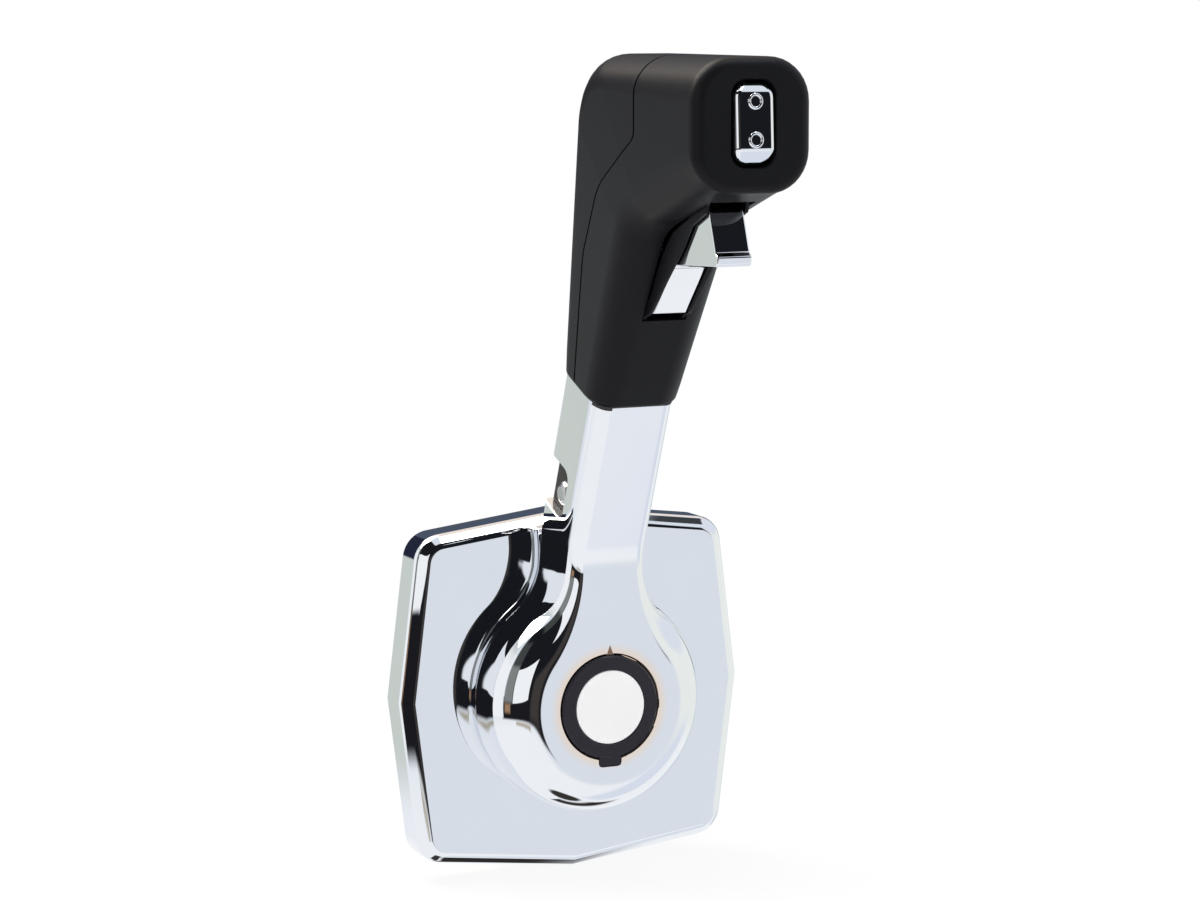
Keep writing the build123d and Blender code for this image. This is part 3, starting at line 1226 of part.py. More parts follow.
def trim_rocker():
    """Rocker cap with wedge ends, a pivot rib and two raised ring marks."""
    rear = ROCKER_FRONT + ROCKER_CAP_T
    cap = slab(Pos(0, ROCKER_Z) * RectangleRounded(2 * ROCKER_HALF_X, 2 * ROCKER_HALF_Z, 3), rear, ROCKER_FRONT)
    top, low = ROCKER_Z + ROCKER_HALF_Z, ROCKER_Z - ROCKER_HALF_Z
    for edge, inner in ((top, top - ROCKER_WEDGE_TOP), (low, low + ROCKER_WEDGE_LOW)):
        wedge = side_face((ROCKER_FRONT, inner), (ROCKER_FRONT + ROCKER_WEDGE_DROP, edge),
                          (ROCKER_FRONT - 1, edge), (ROCKER_FRONT - 1, inner))
        cap -= side_slab(wedge, ROCKER_HALF_X + 1)
    rib = bar_x(3, -ROCKER_HALF_X + 1, ROCKER_HALF_X - 1, ROCKER_PIVOT_Y, ROCKER_Z)
    web = Pos(0, (ROCKER_PIVOT_Y + rear) / 2, ROCKER_Z) * Box(2 * ROCKER_HALF_X - 2, 3.2, 6)
    front, ring = facing(ROCKER_FRONT), Torus(ROCKER_RING_R, ROCKER_RING_WIRE)
    marks = [front * Pos(0, ROCKER_Z + height) * ring for height in ROCKER_RING_HEIGHTS]
    bore = bar_x(ROCKER_PIN_R + RUNNING, -ROCKER_HALF_X, ROCKER_HALF_X, ROCKER_PIVOT_Y, ROCKER_Z)
    return cap + rib + web + marks - bore


# ---- throttle-only button ----
def button_ring():
    """Black ring with a web that backs the disc, a skirt and a key tab."""
    back = BUTTON_FRONT + BUTTON_DISC_T
    web_rear, skirt_end = back + BUTTON_WEB_T, BUTTON_FRONT + BUTTON_SKIRT
    ring = turned((0, back), (BUTTON_DISC_R + FIT, back), (BUTTON_DISC_R + FIT, BUTTON_FRONT + 0.4),
                  (BUTTON_DISC_R + 0.5, BUTTON_FRONT), (BUTTON_R - BUTTON_EDGE, BUTTON_FRONT),
                  (BUTTON_R, BUTTON_FRONT + BUTTON_EDGE), (BUTTON_R, skirt_end),
                  (BUTTON_R - BUTTON_WALL, skirt_end), (BUTTON_R - BUTTON_WALL, web_rear), (0, web_rear))
    tab_start = BUTTON_R - 1
    tab = Pos(0, -(tab_start + BUTTON_TAB_REACH) / 2) * Rectangle(2 * BUTTON_TAB_HALF, BUTTON_TAB_REACH - tab_start)
    ring += slab(tab, HUB_FACE + BUTTON_TAB_T, HUB_FACE)
    return ring - bar_y(STEM_R - 1, web_rear, back)


def button_disc():
    disc = bar_y(BUTTON_DISC_R, BUTTON_FRONT + BUTTON_DISC_T, BUTTON_FRONT + 0.1)
    return fillet(disc.faces().sort_by(Axis.Y)[0].edges(), 0.3)


def button_stem():
    """Stem through the hollow shaft, spigoted into the ring."""
    back = BUTTON_FRONT + BUTTON_DISC_T
    web_rear = back + BUTTON_WEB_T
    return bar_y(STEM_R - 1 - FIT, web_rear, back) + bar_y(STEM_R, STEM_END, web_rear)


def button_spring():
    """Return spring from the shaft's front end to the ring's web."""
    start = SHAFT_FRONT - SPRING_WIRE_R
    end = BUTTON_FRONT + BUTTON_DISC_T + BUTTON_WEB_T + SPRING_WIRE_R
    plane = Plane(origin=(0, start, 0), x_dir=(1, 0, 0), z_dir=(0, -1, 0))
    return plane * coil(BUTTON_SPRING_R, start - end)


PIECES = [
    bezel_plate, panel_gasket, chassis_plate, chassis_screws, housing_body, housing_cover, cover_screws,
    connector_socket, socket_pins, bearing_bridge, sensor_board, board_screws, stem_switch, shaft_seal,
    shaft_bush_front, shaft_bush_rear, detent_plunger, detent_spring, detent_cap, friction_shoe, friction_spring,
    friction_screw, lock_ring, lock_screws, main_shaft, shaft_key, shaft_clip, detent_wheel, friction_drum,
    drive_gear, sensor_gear_upper, sensor_gear_lower, sensor_magnet_upper, sensor_magnet_lower, lever_arm,
    hub_cover, hub_washer, hub_nut, side_liner_left, side_liner_right, cross_bolt, cross_nut, grip_core,
    grip_collar, grip_front_shell, grip_rear_shell, grip_screws, interlock_trigger, trigger_carriage,
    interlock_rod, interlock_pin, trigger_spring, spring_seat, switch_frame, rocker_pin, trim_rocker,
    button_ring, button_disc, button_stem, button_spring,
]

os.makedirs("parts", exist_ok=True)
for make in PIECES:
    export_step(make(), f"parts/{make.__name__}.step")
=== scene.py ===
"""Boat throttle control lever: chromed arm and bezel, black grip, trigger, trim rocker and push button.

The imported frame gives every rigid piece.  This file gives them their finishes, and rebuilds the smooth
castings and mouldings whose curves show.  Lengths in the classes are millimetres; meshes are metres.
"""

from __future__ import annotations

import json
import logging
import math
from dataclasses import dataclass, field
from enum import Enum
from typing import Callable, Iterable, Optional, Sequence

import bmesh
import bpy
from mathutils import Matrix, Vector

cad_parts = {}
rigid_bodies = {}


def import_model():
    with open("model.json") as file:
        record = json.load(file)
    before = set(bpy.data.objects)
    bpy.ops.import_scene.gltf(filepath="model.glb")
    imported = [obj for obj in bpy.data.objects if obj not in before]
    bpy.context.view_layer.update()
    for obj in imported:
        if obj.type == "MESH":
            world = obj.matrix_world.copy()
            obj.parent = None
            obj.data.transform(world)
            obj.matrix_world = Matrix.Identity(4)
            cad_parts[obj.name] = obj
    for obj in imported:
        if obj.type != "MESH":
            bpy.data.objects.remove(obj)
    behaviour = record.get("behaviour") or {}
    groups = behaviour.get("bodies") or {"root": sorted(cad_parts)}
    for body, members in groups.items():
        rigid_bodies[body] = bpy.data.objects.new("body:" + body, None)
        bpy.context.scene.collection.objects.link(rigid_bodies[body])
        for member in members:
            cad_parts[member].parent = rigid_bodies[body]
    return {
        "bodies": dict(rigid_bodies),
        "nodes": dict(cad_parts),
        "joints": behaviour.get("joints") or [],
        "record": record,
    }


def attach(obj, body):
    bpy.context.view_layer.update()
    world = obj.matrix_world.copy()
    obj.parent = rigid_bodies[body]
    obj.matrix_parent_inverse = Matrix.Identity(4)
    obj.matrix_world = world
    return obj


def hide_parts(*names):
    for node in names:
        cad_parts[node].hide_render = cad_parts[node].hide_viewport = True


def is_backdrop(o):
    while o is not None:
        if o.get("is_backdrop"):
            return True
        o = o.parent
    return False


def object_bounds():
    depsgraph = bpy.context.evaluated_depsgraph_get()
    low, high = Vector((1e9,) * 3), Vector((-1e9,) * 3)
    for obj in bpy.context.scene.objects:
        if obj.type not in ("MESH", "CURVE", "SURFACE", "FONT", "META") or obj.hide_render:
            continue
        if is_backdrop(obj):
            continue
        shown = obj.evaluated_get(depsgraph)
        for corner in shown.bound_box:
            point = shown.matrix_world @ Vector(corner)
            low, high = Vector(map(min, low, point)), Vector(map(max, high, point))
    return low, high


LOG = logging.getLogger("control_lever")
MM = 0.001
FLARE_REACH = 1.3
Point2 = tuple[float, float]
Point3 = tuple[float, float, float]
Ring = list[Point3]
Solid = bpy.types.Object
Socket = bpy.types.NodeSocket


# ---------------------------------------------------------------- mesh helpers
class Side(Enum):
    """Which way a boolean cut works."""

    CUT = "DIFFERENCE"
    KEEP = "INTERSECT"
    JOIN = "UNION"


def mesh_object(name: str, points: Sequence[Point3], faces: Sequence[Sequence[int]]) -> Solid:
    """Make an object from points in millimetres, with its faces turned outwards.

    Args:
        name: Object name.
        points: Corner points in millimetres.
        faces: Corner numbers of each face.

    Returns:
        The new object, linked to the scene.
    """
    mesh = bpy.data.meshes.new(name)
    mesh.from_pydata([(x * MM, y * MM, z * MM) for x, y, z in points], [], [list(f) for f in faces])
    form = bmesh.new()
    form.from_mesh(mesh)
    bmesh.ops.remove_doubles(form, verts=form.verts, dist=1e-7)
    bmesh.ops.recalc_face_normals(form, faces=form.faces)
    form.to_mesh(mesh)
    form.free()
    piece = bpy.data.objects.new(name, mesh)
    bpy.context.scene.collection.objects.link(piece)
    return piece


def skinned(name: str, rings: Sequence[Ring], caps: bool = True) -> Solid:
    """Skin a row of closed rings that have the same number of points.

    Args:
        name: Object name.
        rings: Rings of points, in order.
        caps: Whether the first and last rings are filled.

    Returns:
        The skinned object.
    """
    count = len(rings[0])
    points = [p for ring in rings for p in ring]
    faces: list[Sequence[int]] = []
    for row in range(len(rings) - 1):
        here, there = row * count, (row + 1) * count
        for col in range(count):
            nxt = (col + 1) % count
            faces.append((here + col, here + nxt, there + nxt, there + col))
    if caps:
        faces.append(list(range(count)))
        faces.append([(len(rings) - 1) * count + i for i in range(count)])
    return mesh_object(name, points, faces)


def prism(name: str, outline: Sequence[Point2], place: Callable[[float, float, float], Point3],
          start: float, end: float, flare: float = 0.0) -> Solid:
    """Extrude an outline between two heights, with an optional flare at the end.

    Args:
        name: Object name.
        outline: Corner points in the outline's own plane.
        place: Function from (across, up, along) to a point in the frame.
        start: Where the extrusion starts.
        end: Where it ends.
        flare: How far the outline grows over the last stretch of the same length.

    Returns:
        The prism.
    """
    rings = [[place(a, b, start) for a, b in outline]]
    if flare:
        centre = (sum(p[0] for p in outline) / len(outline), sum(p[1] for p in outline) / len(outline))
        grown = [grow_from(p, centre, flare) for p in outline]
        step = math.copysign(flare, end - start)
        rings.append([place(a, b, end - 2 * step) for a, b in outline])
        rings.append([place(a, b, end) for a, b in grown])
    else:
        rings.append([place(a, b, end) for a, b in outline])
    return skinned(name, rings)


def sideways(depth: float, height: float, x: float) -> Point3:
    """Side-view point at x across."""
    return x, depth, height


def facing(x: float, z: float, depth: float) -> Point3:
    """Front-view point at a depth."""
    return x, depth, z


def grow_from(point: Point2, centre: Point2, amount: float) -> Point2:
    """Move a point away from a centre by an amount."""
    off = Vector(point) - Vector(centre)
    grown = Vector(point) + off.normalized() * amount * FLARE_REACH
    return grown.x, grown.y


def lathe(name: str, profile: Sequence[Point2], steps: int = 96, x: float = 0.0,
          z: float = 0.0) -> Solid:
    """Turn a closed profile of (radius, depth) points about an axis along Y.

    Args:
        name: Object name.
        profile: Closed loop of (radius, depth) points, first and last on the axis or not.
        steps: Number of steps round the axis.
        x: Axis place across.
        z: Axis height.

    Returns:
        The turned solid.
    """
    rings = []
    for step in range(steps):
        angle = 2 * math.pi * step / steps
        rings.append([(x + r * math.sin(angle), depth, z + r * math.cos(angle)) for r, depth in profile])
    rings.append(rings[0])
    return skinned(name, rings, caps=False)


def rounded_rectangle(half_a: float, half_b: float, radius: float, steps: int = 8) -> list[Point2]:
    """Outline of a rectangle with rounded corners, anticlockwise.

    Args:
        half_a: Half size across.
        half_b: Half size up.
        radius: Corner radius.
        steps: Steps round each corner.

    Returns:
        The outline's points.
    """
    radius = min(radius, half_a - 1e-3, half_b - 1e-3)
    outline = []
    for quarter, (sa, sb) in enumerate(((1, 1), (-1, 1), (-1, -1), (1, -1))):
        for step in range(steps + 1):
            angle = math.pi / 2 * (quarter + step / steps)
            outline.append((sa * (half_a - radius) + radius * math.cos(angle),
                            sb * (half_b - radius) + radius * math.sin(angle)))
    return outline


def offset_outline(outline: Sequence[Point2], grown: float) -> list[Point2]:
    """Move a closed outline's points outwards by an amount.

    Args:
        outline: Points in order, round a shape with no hollows.
        grown: How far they move.

    Returns:
        The moved points.
    """
    centre = Vector((sum(p[0] for p in outline) / len(outline), sum(p[1] for p in outline) / len(outline)))
    moved = []
    for number, point in enumerate(outline):
        before, after = Vector(outline[number - 1]), Vector(outline[(number + 1) % len(outline)])
        along = (after - before).normalized()
        outward = Vector((along.y, -along.x))
        if outward.dot(Vector(point) - centre) < 0:
            outward.negate()
        moved.append((point[0] + outward.x * grown, point[1] + outward.y * grown))
    return moved


def combine(target: Solid, tool: Solid, side: Side) -> None:
    """Apply a boolean to a target and drop the tool.

    Args:
        target: Object that is changed.
        tool: Object that cuts, clips or joins.
        side: What the tool does.
    """
    step = target.modifiers.new("shape", "BOOLEAN")
    step.operation = side.value
    step.solver = "EXACT"
    step.object = tool
    settle(target)
    discard(tool)


def settle(piece: Solid) -> None:
    """Turn a piece's modifiers into its plain mesh."""
    bpy.context.view_layer.update()
    graph = bpy.context.evaluated_depsgraph_get()
    mesh = bpy.data.meshes.new_from_object(piece.evaluated_get(graph))
    piece.modifiers.clear()
    old = piece.data
    piece.data = mesh
    if old.users == 0:
        bpy.data.meshes.remove(old)


def discard(piece: Solid) -> None:
    """Remove an object and its mesh."""
    mesh = piece.data
    bpy.data.objects.remove(piece)
    if mesh.users == 0:
        bpy.data.meshes.remove(mesh)


def copy_of(piece: Solid, name: str) -> Solid:
    """Copy an object and its mesh under a new name."""
    twin = bpy.data.objects.new(name, piece.data.copy())
    bpy.context.scene.collection.objects.link(twin)
    return twin


def soften(piece: Solid, width: float = 0.0, angle: float = 32.0, segments: int = 2) -> None:
    """Round a piece's sharp edges a little and shade it smooth between them.

    Args:
        piece: Object to finish.
        width: Bevel width in millimetres; zero leaves the edges sharp.
        angle: Edges sharper than this, in degrees, are bevelled and stay sharp.
        segments: Bevel segments.
    """
    if width:
        bevel = piece.modifiers.new("edges", "BEVEL")
        bevel.width = width * MM
        bevel.segments = segments
        bevel.limit_method = "ANGLE"
        bevel.angle_limit = math.radians(angle)
        bevel.use_clamp_overlap = True
        bevel.miter_outer = "MITER_ARC"
        settle(piece)
    mesh = piece.data
    mesh.polygons.foreach_set("use_smooth", [True] * len(mesh.polygons))
    mesh.set_sharp_from_angle(angle=math.radians(angle))
    weigh = piece.modifiers.new("normals", "WEIGHTED_NORMAL")
    weigh.keep_sharp = True
    weigh.weight = 50
    settle(piece)


def merged_copy(frame: dict, node: str, name: str) -> Solid:
    """Copy a frame node with its loose triangles merged into clean faces.

    Args:
        frame: The loaded frame.
        node: Node to copy.
        name: Name of the copy.

    Returns:
        The merged copy.
    """
    twin = copy_of(frame["nodes"][node], name)
    form = bmesh.new()
    form.from_mesh(twin.data)
    bmesh.ops.remove_doubles(form, verts=form.verts, dist=2e-6)
    bmesh.ops.dissolve_limit(form, angle_limit=math.radians(0.4), verts=form.verts, edges=form.edges)
    form.to_mesh(twin.data)
    form.free()
    return twin


# ---------------------------------------------------------------- shader node helpers
class Nodes:
    """Short way to build a shader node tree."""

    def __init__(self, tree: bpy.types.NodeTree) -> None:
        """Start on an emptied tree."""
        self.tree = tree
        tree.nodes.clear()

    def add(self, kind: str, **sockets: object) -> bpy.types.Node:
        """Add a node and set its inputs.

        Args:
            kind: Node type name.
            **sockets: Input values, by the input's name with underscores for spaces.

        Returns:
            The new node.
        """
        node = self.tree.nodes.new(kind)
        for name, value in sockets.items():
            node.inputs[name.replace("_", " ")].default_value = value
        return node

    def link(self, source: Socket, target: Socket) -> None:
        """Join two sockets."""
        self.tree.links.new(source, target)

    def math(self, operation: str, first: object, second: object = None) -> Socket:
        """Add a maths node.

        Args:
            operation: Blender's name of the operation.
            first: First input, a socket or a number.
            second: Second input, a socket or a number.

        Returns:
            The result socket.
        """
        node = self.tree.nodes.new("ShaderNodeMath")
        node.operation = operation
        for value, socket in zip((first, second), node.inputs):
            if isinstance(value, Socket):
                self.link(value, socket)
            elif value is not None:
                socket.default_value = value
        return node.outputs[0]

    def coordinates(self, scale: float, stretch: Point3 = (1.0, 1.0, 1.0)) -> Socket:
        """Object coordinates through a mapping.

        Args:
            scale: Overall scale.
            stretch: Scale of each axis on top of it.

        Returns:
            The mapped vector socket.
        """
        place = self.add("ShaderNodeTexCoord")
        mapping = self.add("ShaderNodeMapping", Scale=[scale * s for s in stretch])
        self.link(place.outputs["Object"], mapping.inputs["Vector"])
        return mapping.outputs["Vector"]

    def noise(self, scale: float, detail: float, stretch: Point3 = (1.0, 1.0, 1.0)) -> Socket:
        """Noise on object coordinates, as a value from 0 to 1."""
        texture = self.add("ShaderNodeTexNoise", Scale=1.0, Detail=detail)
        self.link(self.coordinates(scale, stretch), texture.inputs["Vector"])
        return texture.outputs["Fac"]

    def spread(self, value: Socket, low: float, high: float, start: float = 0.3, stop: float = 0.7,
               smooth: bool = False) -> Socket:
        """Map a value onto a range.

        Args:
            value: Value socket.
            low: Result at start.
            high: Result at stop.
            start: Value that gives low.
            stop: Value that gives high.
            smooth: Whether the ends ease in.

        Returns:
            The mapped value socket.
        """
        node = self.add("ShaderNodeMapRange")
        if smooth:
            node.interpolation_type = "SMOOTHSTEP"
        node.inputs["From Min"].default_value, node.inputs["From Max"].default_value = start, stop
        node.inputs["To Min"].default_value, node.inputs["To Max"].default_value = low, high
        self.link(value, node.inputs["Value"])
        return node.outputs["Result"]

    def mix(self, share: Socket, first: object, second: object) -> Socket:
        """Mix two colours, each a socket or a plain colour, by a share."""
        node = self.add("ShaderNodeMix")
        node.data_type = "RGBA"
        for value, socket in zip((first, second), [s for s in node.inputs if s.type == "RGBA"]):
            if isinstance(value, Socket):
                self.link(value, socket)
            else:
                socket.default_value = (*value, 1.0)
        self.link(share, node.inputs["Factor"])
        return next(s for s in node.outputs if s.type == "RGBA")

    def bump(self, height: Socket, strength: float, distance: float) -> Socket:
        """Bump from a height, in metres."""
        node = self.add("ShaderNodeBump", Strength=strength, Distance=distance)
        self.link(height, node.inputs["Height"])
        return node.outputs["Normal"]


# ---------------------------------------------------------------- geometry node helpers
class Growth:
    """A geometry node tree with named inputs, run once on a mesh of places."""

    def __init__(self, name: str) -> None:
        """Start a tree that takes the places and gives a mesh."""
        self.group = bpy.data.node_groups.new(name, "GeometryNodeTree")
        for way in ("INPUT", "OUTPUT"):
            self.group.interface.new_socket("Geometry", in_out=way, socket_type="NodeSocketGeometry")
        self.inlet = self.group.nodes.new("NodeGroupInput")
        self.outlet = self.group.nodes.new("NodeGroupOutput")
        self.values: dict[str, float] = {}

    def size(self, name: str, value: float) -> Socket:
        """Declare a named input in metres and give its socket.

        Args:
            name: Name of the input.
            value: Its value in millimetres.

        Returns:
            The socket inside the tree.
        """
        item = self.group.interface.new_socket(name, in_out="INPUT", socket_type="NodeSocketFloat")
        self.values[item.identifier] = value * MM
        return next(s for s in self.inlet.outputs if s.identifier == item.identifier)

    def add(self, kind: str, **settings: object) -> bpy.types.Node:
        """Add a node and set its own properties."""
        node = self.group.nodes.new(kind)
        for name, value in settings.items():
            setattr(node, name, value)
        return node

    def feed(self, node: bpy.types.Node, name: str, source: object) -> bpy.types.Node:
        """Link or set one input of a node by name.

        Args:
            node: Node to feed.
            name: Input's name.
            source: Socket, or a plain value.

        Returns:
            The node.
        """
        socket = next(s for s in node.inputs if s.name == name and s.enabled)
        if isinstance(source, Socket):
            self.group.links.new(source, socket)
        else:
            socket.default_value = source
        return node

    def math(self, operation: str, first: object, second: object = None) -> Socket:
        """Add a maths node on sockets or numbers and give its result."""
        node = self.add("ShaderNodeMath", operation=operation)
        for value, socket in zip((first, second), node.inputs):
            if isinstance(value, Socket):
                self.group.links.new(value, socket)
            elif value is not None:
                socket.default_value = value
        return node.outputs[0]

    def along_z(self, height: object) -> Socket:
        """Vector that points along Z by a height."""
        node = self.add("ShaderNodeCombineXYZ")
        return self.feed(node, "Z", height).outputs[0]

    def place(self, shape: Socket, material: bpy.types.Material) -> None:
        """Put the shape at every place, its Z along the place's aim, and end the tree.

        Args:
            shape: Geometry socket of one item.
            material: Material of the result.
        """
        aim = self.add("GeometryNodeInputNamedAttribute", data_type="FLOAT_VECTOR")
        self.feed(aim, "Name", "aim")
        turn = self.add("FunctionNodeAlignRotationToVector", axis="Z")
        self.feed(turn, "Vector", aim.outputs["Attribute"])
        spread = self.add("GeometryNodeInstanceOnPoints")
        self.feed(spread, "Points", self.inlet.outputs["Geometry"])
        self.feed(spread, "Instance", shape)
        self.feed(spread, "Rotation", turn.outputs["Rotation"])
        real = self.add("GeometryNodeRealizeInstances")
        self.feed(real, "Geometry", spread.outputs["Instances"])
        coat = self.add("GeometryNodeSetMaterial")
        self.feed(coat, "Geometry", real.outputs["Geometry"])
        self.feed(coat, "Material", material)
        self.group.links.new(coat.outputs["Geometry"], self.outlet.inputs[0])

    def grow(self, name: str, places: Sequence[tuple[Point3, Point3]]) -> Solid:
        """Run the tree on a set of places and give the plain mesh.

        Args:
            name: Name of the result.
            places: Point in millimetres and aim of each item.

        Returns:
            The object with its plain mesh.
        """
        mesh = bpy.data.meshes.new(name)
        mesh.from_pydata([tuple(v * MM for v in point) for point, _ in places], [], [])
        aims = mesh.attributes.new("aim", "FLOAT_VECTOR", "POINT")
        for item, (_, aim) in zip(aims.data, places):
            item.vector = aim
        piece = bpy.data.objects.new(name, mesh)
        bpy.context.scene.collection.objects.link(piece)
        step = piece.modifiers.new("growth", "NODES")
        step.node_group = self.group
        for identifier, value in self.values.items():
            step[identifier] = value
        settle(piece)
        for left in [a for a in piece.data.attributes if a.name == "aim"]:
            piece.data.attributes.remove(left)
        return piece


# ---------------------------------------------------------------- finishes
@dataclass(frozen=True)
class Finish:
    """A surface finish with colour variation, roughness variation and a fine relief.

    Attributes:
        name: Material name.
        slot: The record's material slot.
        colour: Main colour, linear.
        second: Colour it drifts to.
        metallic: 0 for plastic or rubber, 1 for metal.
        rough: Lowest and highest roughness.
        grain: Relief scale in cells per metre.
        relief: Relief depth in metres.
        stretch: Relief stretch along each axis.
        coat: Clear coat weight.
        specular: Specular level.
    """

    name: str
    slot: str
    colour: Point3
    second: Point3
    metallic: float
    rough: tuple[float, float]
    grain: float
    relief: float
    stretch: Point3 = (1.0, 1.0, 1.0)
    coat: float = 0.0
    specular: float = 0.5

    def material(self) -> bpy.types.Material:
        """Make the node material, once."""
        found = bpy.data.materials.get(self.name)
        if found:
            return found
        made = bpy.data.materials.new(self.name)
        made.use_nodes = True
        nodes = Nodes(made.node_tree)
        out = nodes.add("ShaderNodeOutputMaterial")
        shader = nodes.add("ShaderNodeBsdfPrincipled", Metallic=self.metallic, Coat_Weight=self.coat,
                           Specular_IOR_Level=self.specular)
        nodes.link(self.paint(nodes), shader.inputs["Base Color"])
        fine = nodes.noise(self.grain, 4.0, self.stretch)
        nodes.link(nodes.spread(fine, *self.rough), shader.inputs["Roughness"])
        nodes.link(nodes.bump(fine, 0.6, self.relief), shader.inputs["Normal"])
        nodes.link(shader.outputs["BSDF"], out.inputs["Surface"])
        return made

    def paint(self, nodes: Nodes) -> Socket:
        """Colour that drifts between the finish's two tones."""
        return nodes.mix(nodes.noise(60.0, 3.0), self.colour, self.second)


@dataclass(frozen=True)
class HubChrome(Finish):
    """Chrome with a painted warm reflection on the rim of the button's well.

    Attributes:
        warm: Colour of the painted warm reflection on the rim.
        rim: Radius of the well's rim, in metres.
        spread_over: Width over which the painted reflection fades, in metres.
    """

    warm: Point3 = (0.94, 0.80, 0.68)
    rim: float = 0.0187
    spread_over: float = 0.0040

    def paint(self, nodes: Nodes) -> Socket:
        """Chrome's tones, with a painted warm reflection round the rim of the button's well."""
        base = Finish.paint(self, nodes)
        split = nodes.add("ShaderNodeSeparateXYZ")
        nodes.link(nodes.coordinates(1.0), split.inputs[0])
        across, up = nodes.math("MULTIPLY", split.outputs["X"], split.outputs["X"]), split.outputs["Z"]
        radius = nodes.math("SQRT", nodes.math("ADD", across, nodes.math("MULTIPLY", up, up)))
        # Painted reflection: a warm tone on the chrome near the well's rim, by distance from the pivot axis.
        near = nodes.spread(radius, 1.0, 0.0, self.rim, self.rim + self.spread_over, True)
        return nodes.mix(near, base, self.warm)


class Finishes:
    """Every finish on the control."""

    PLATING = ("chrome", (0.86, 0.88, 0.915), (0.82, 0.845, 0.885), 1.0, (0.012, 0.03), 90.0, 0.000004)
    CHROME = Finish("bright_chrome", *PLATING)
    HUB = HubChrome("hub_chrome", *PLATING)
    GRIP = Finish("soft_black_grip", "grip_black", (0.0048, 0.0050, 0.0068), (0.0062, 0.0064, 0.0084), 0.0,
                  (0.38, 0.46), 3800.0, 0.000012, specular=0.135)
    BUTTON = Finish("satin_black_button", "button_black", (0.015, 0.014, 0.020), (0.020, 0.018, 0.026), 0.0,
                    (0.36, 0.44), 5200.0, 0.000008, specular=0.25)
    DISC = Finish("frosted_disc", "disc_silver", (0.80, 0.80, 0.815), (0.86, 0.86, 0.865), 0.0,
                  (0.42, 0.62), 4200.0, 0.00002, specular=0.35)
    RUBBER = Finish("black_rubber", "rubber_black", (0.016, 0.016, 0.017), (0.024, 0.024, 0.024), 0.0,
                    (0.62, 0.78), 2600.0, 0.00002)
    HOUSING = Finish("black_moulding", "housing_black", (0.028, 0.028, 0.031), (0.036, 0.036, 0.038), 0.0,
                     (0.45, 0.58), 2400.0, 0.000025)
    CAST = Finish("cast_aluminium", "cast_aluminium", (0.50, 0.51, 0.53), (0.58, 0.585, 0.60), 1.0,
                  (0.42, 0.58), 1500.0, 0.00004)
    STEEL = Finish("turned_steel", "plain_steel", (0.50, 0.50, 0.52), (0.58, 0.58, 0.59), 1.0, (0.2, 0.34),
                   900.0, 0.00001, stretch=(1.0, 6.0, 1.0))
    ZINC = Finish("zinc_screws", "zinc_steel", (0.60, 0.60, 0.59), (0.68, 0.67, 0.62), 1.0, (0.24, 0.4),
                  1800.0, 0.00001)
    SPRING = Finish("spring_wire", "spring_steel", (0.36, 0.36, 0.38), (0.44, 0.44, 0.45), 1.0,
                    (0.22, 0.36), 2200.0, 0.000006)
    BRONZE = Finish("bush_bronze", "bush_bronze", (0.52, 0.37, 0.16), (0.6, 0.44, 0.22), 1.0, (0.3, 0.46),
                    1900.0, 0.00002)
    ACETAL = Finish("white_acetal", "acetal_white", (0.78, 0.78, 0.74), (0.83, 0.83, 0.8), 0.0, (0.36, 0.5),
                    1700.0, 0.00001)
    BOARD = Finish("board_green", "board_green", (0.015, 0.11, 0.045), (0.02, 0.15, 0.06), 0.0, (0.22, 0.4),
                   1400.0, 0.00001, coat=0.3)
    MAGNET = Finish("sintered_magnet", "magnet_grey", (0.2, 0.2, 0.21), (0.27, 0.27, 0.28), 1.0,
                    (0.3, 0.45), 2300.0, 0.00001)
    MARK = Finish("dark_brown_mark", "chrome", (0.24, 0.155, 0.105), (0.30, 0.20, 0.14), 0.6, (0.3, 0.42),
                  1800.0, 0.000004)
    PINS = Finish("plated_pins", "pin_gold", (0.8, 0.58, 0.22), (0.85, 0.65, 0.3), 1.0, (0.14, 0.24),
                  2000.0, 0.000004)

    @classmethod
    def every(cls) -> list[Finish]:
        """All finishes."""
        return [value for value in vars(cls).values() if isinstance(value, Finish)]

    @classmethod
    def for_slot(cls, slot: str) -> Finish:
        """The finish that dresses one of the record's slots."""
        return next(f for f in cls.every() if f.slot == slot)


def dress(piece: Solid, finish: Finish, body: str, *nodes: str) -> None:
    """Give a piece its finish, its body, and the nodes that it stands for.

    Args:
        piece: Finished object.
        finish: Its finish.
        body: Body that it rides on.
        *nodes: Frame nodes that it replaces.
    """
    piece.data.materials.clear()
    piece.data.materials.append(finish.material())
    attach(piece, body)
    if nodes:
        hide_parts(*nodes)
    LOG.info("%s: %d faces on %s", piece.name, len(piece.data.polygons), body)


# ---------------------------------------------------------------- leaning frame
@dataclass(frozen=True)
class LeanLine:
    """Straight line that the arm and the grip's base follow.

    Attributes:
        depth: Depth of the line's start.
        height: Height of the line's start.
        lean: Forward lean in degrees.
    """

    depth: float = -22.5
    height: float = 26.0
    lean: float = 22.0

    def at(self, x: float, n: float, w: float) -> Point3:
        """Point at x across, n to the rear and w along the line."""
        s, c = math.sin(math.radians(self.lean)), math.cos(math.radians(self.lean))
        return x, self.depth + n * c - w * s, self.height + n * s + w * c

    def side(self, n: float, w: float) -> Point2:
        """The same point in the side view, as depth and height."""
        _, depth, height = self.at(0.0, n, w)
        return depth, height

    def inverse(self, depth: float, height: float) -> Point2:
        """How far a side-view point is to the rear of the line, and along it."""
        s, c = math.sin(math.radians(self.lean)), math.cos(math.radians(self.lean))
        y, z = depth - self.depth, height - self.height
        return y * c + z * s, z * c - y * s


LEAN_LINE = LeanLine()


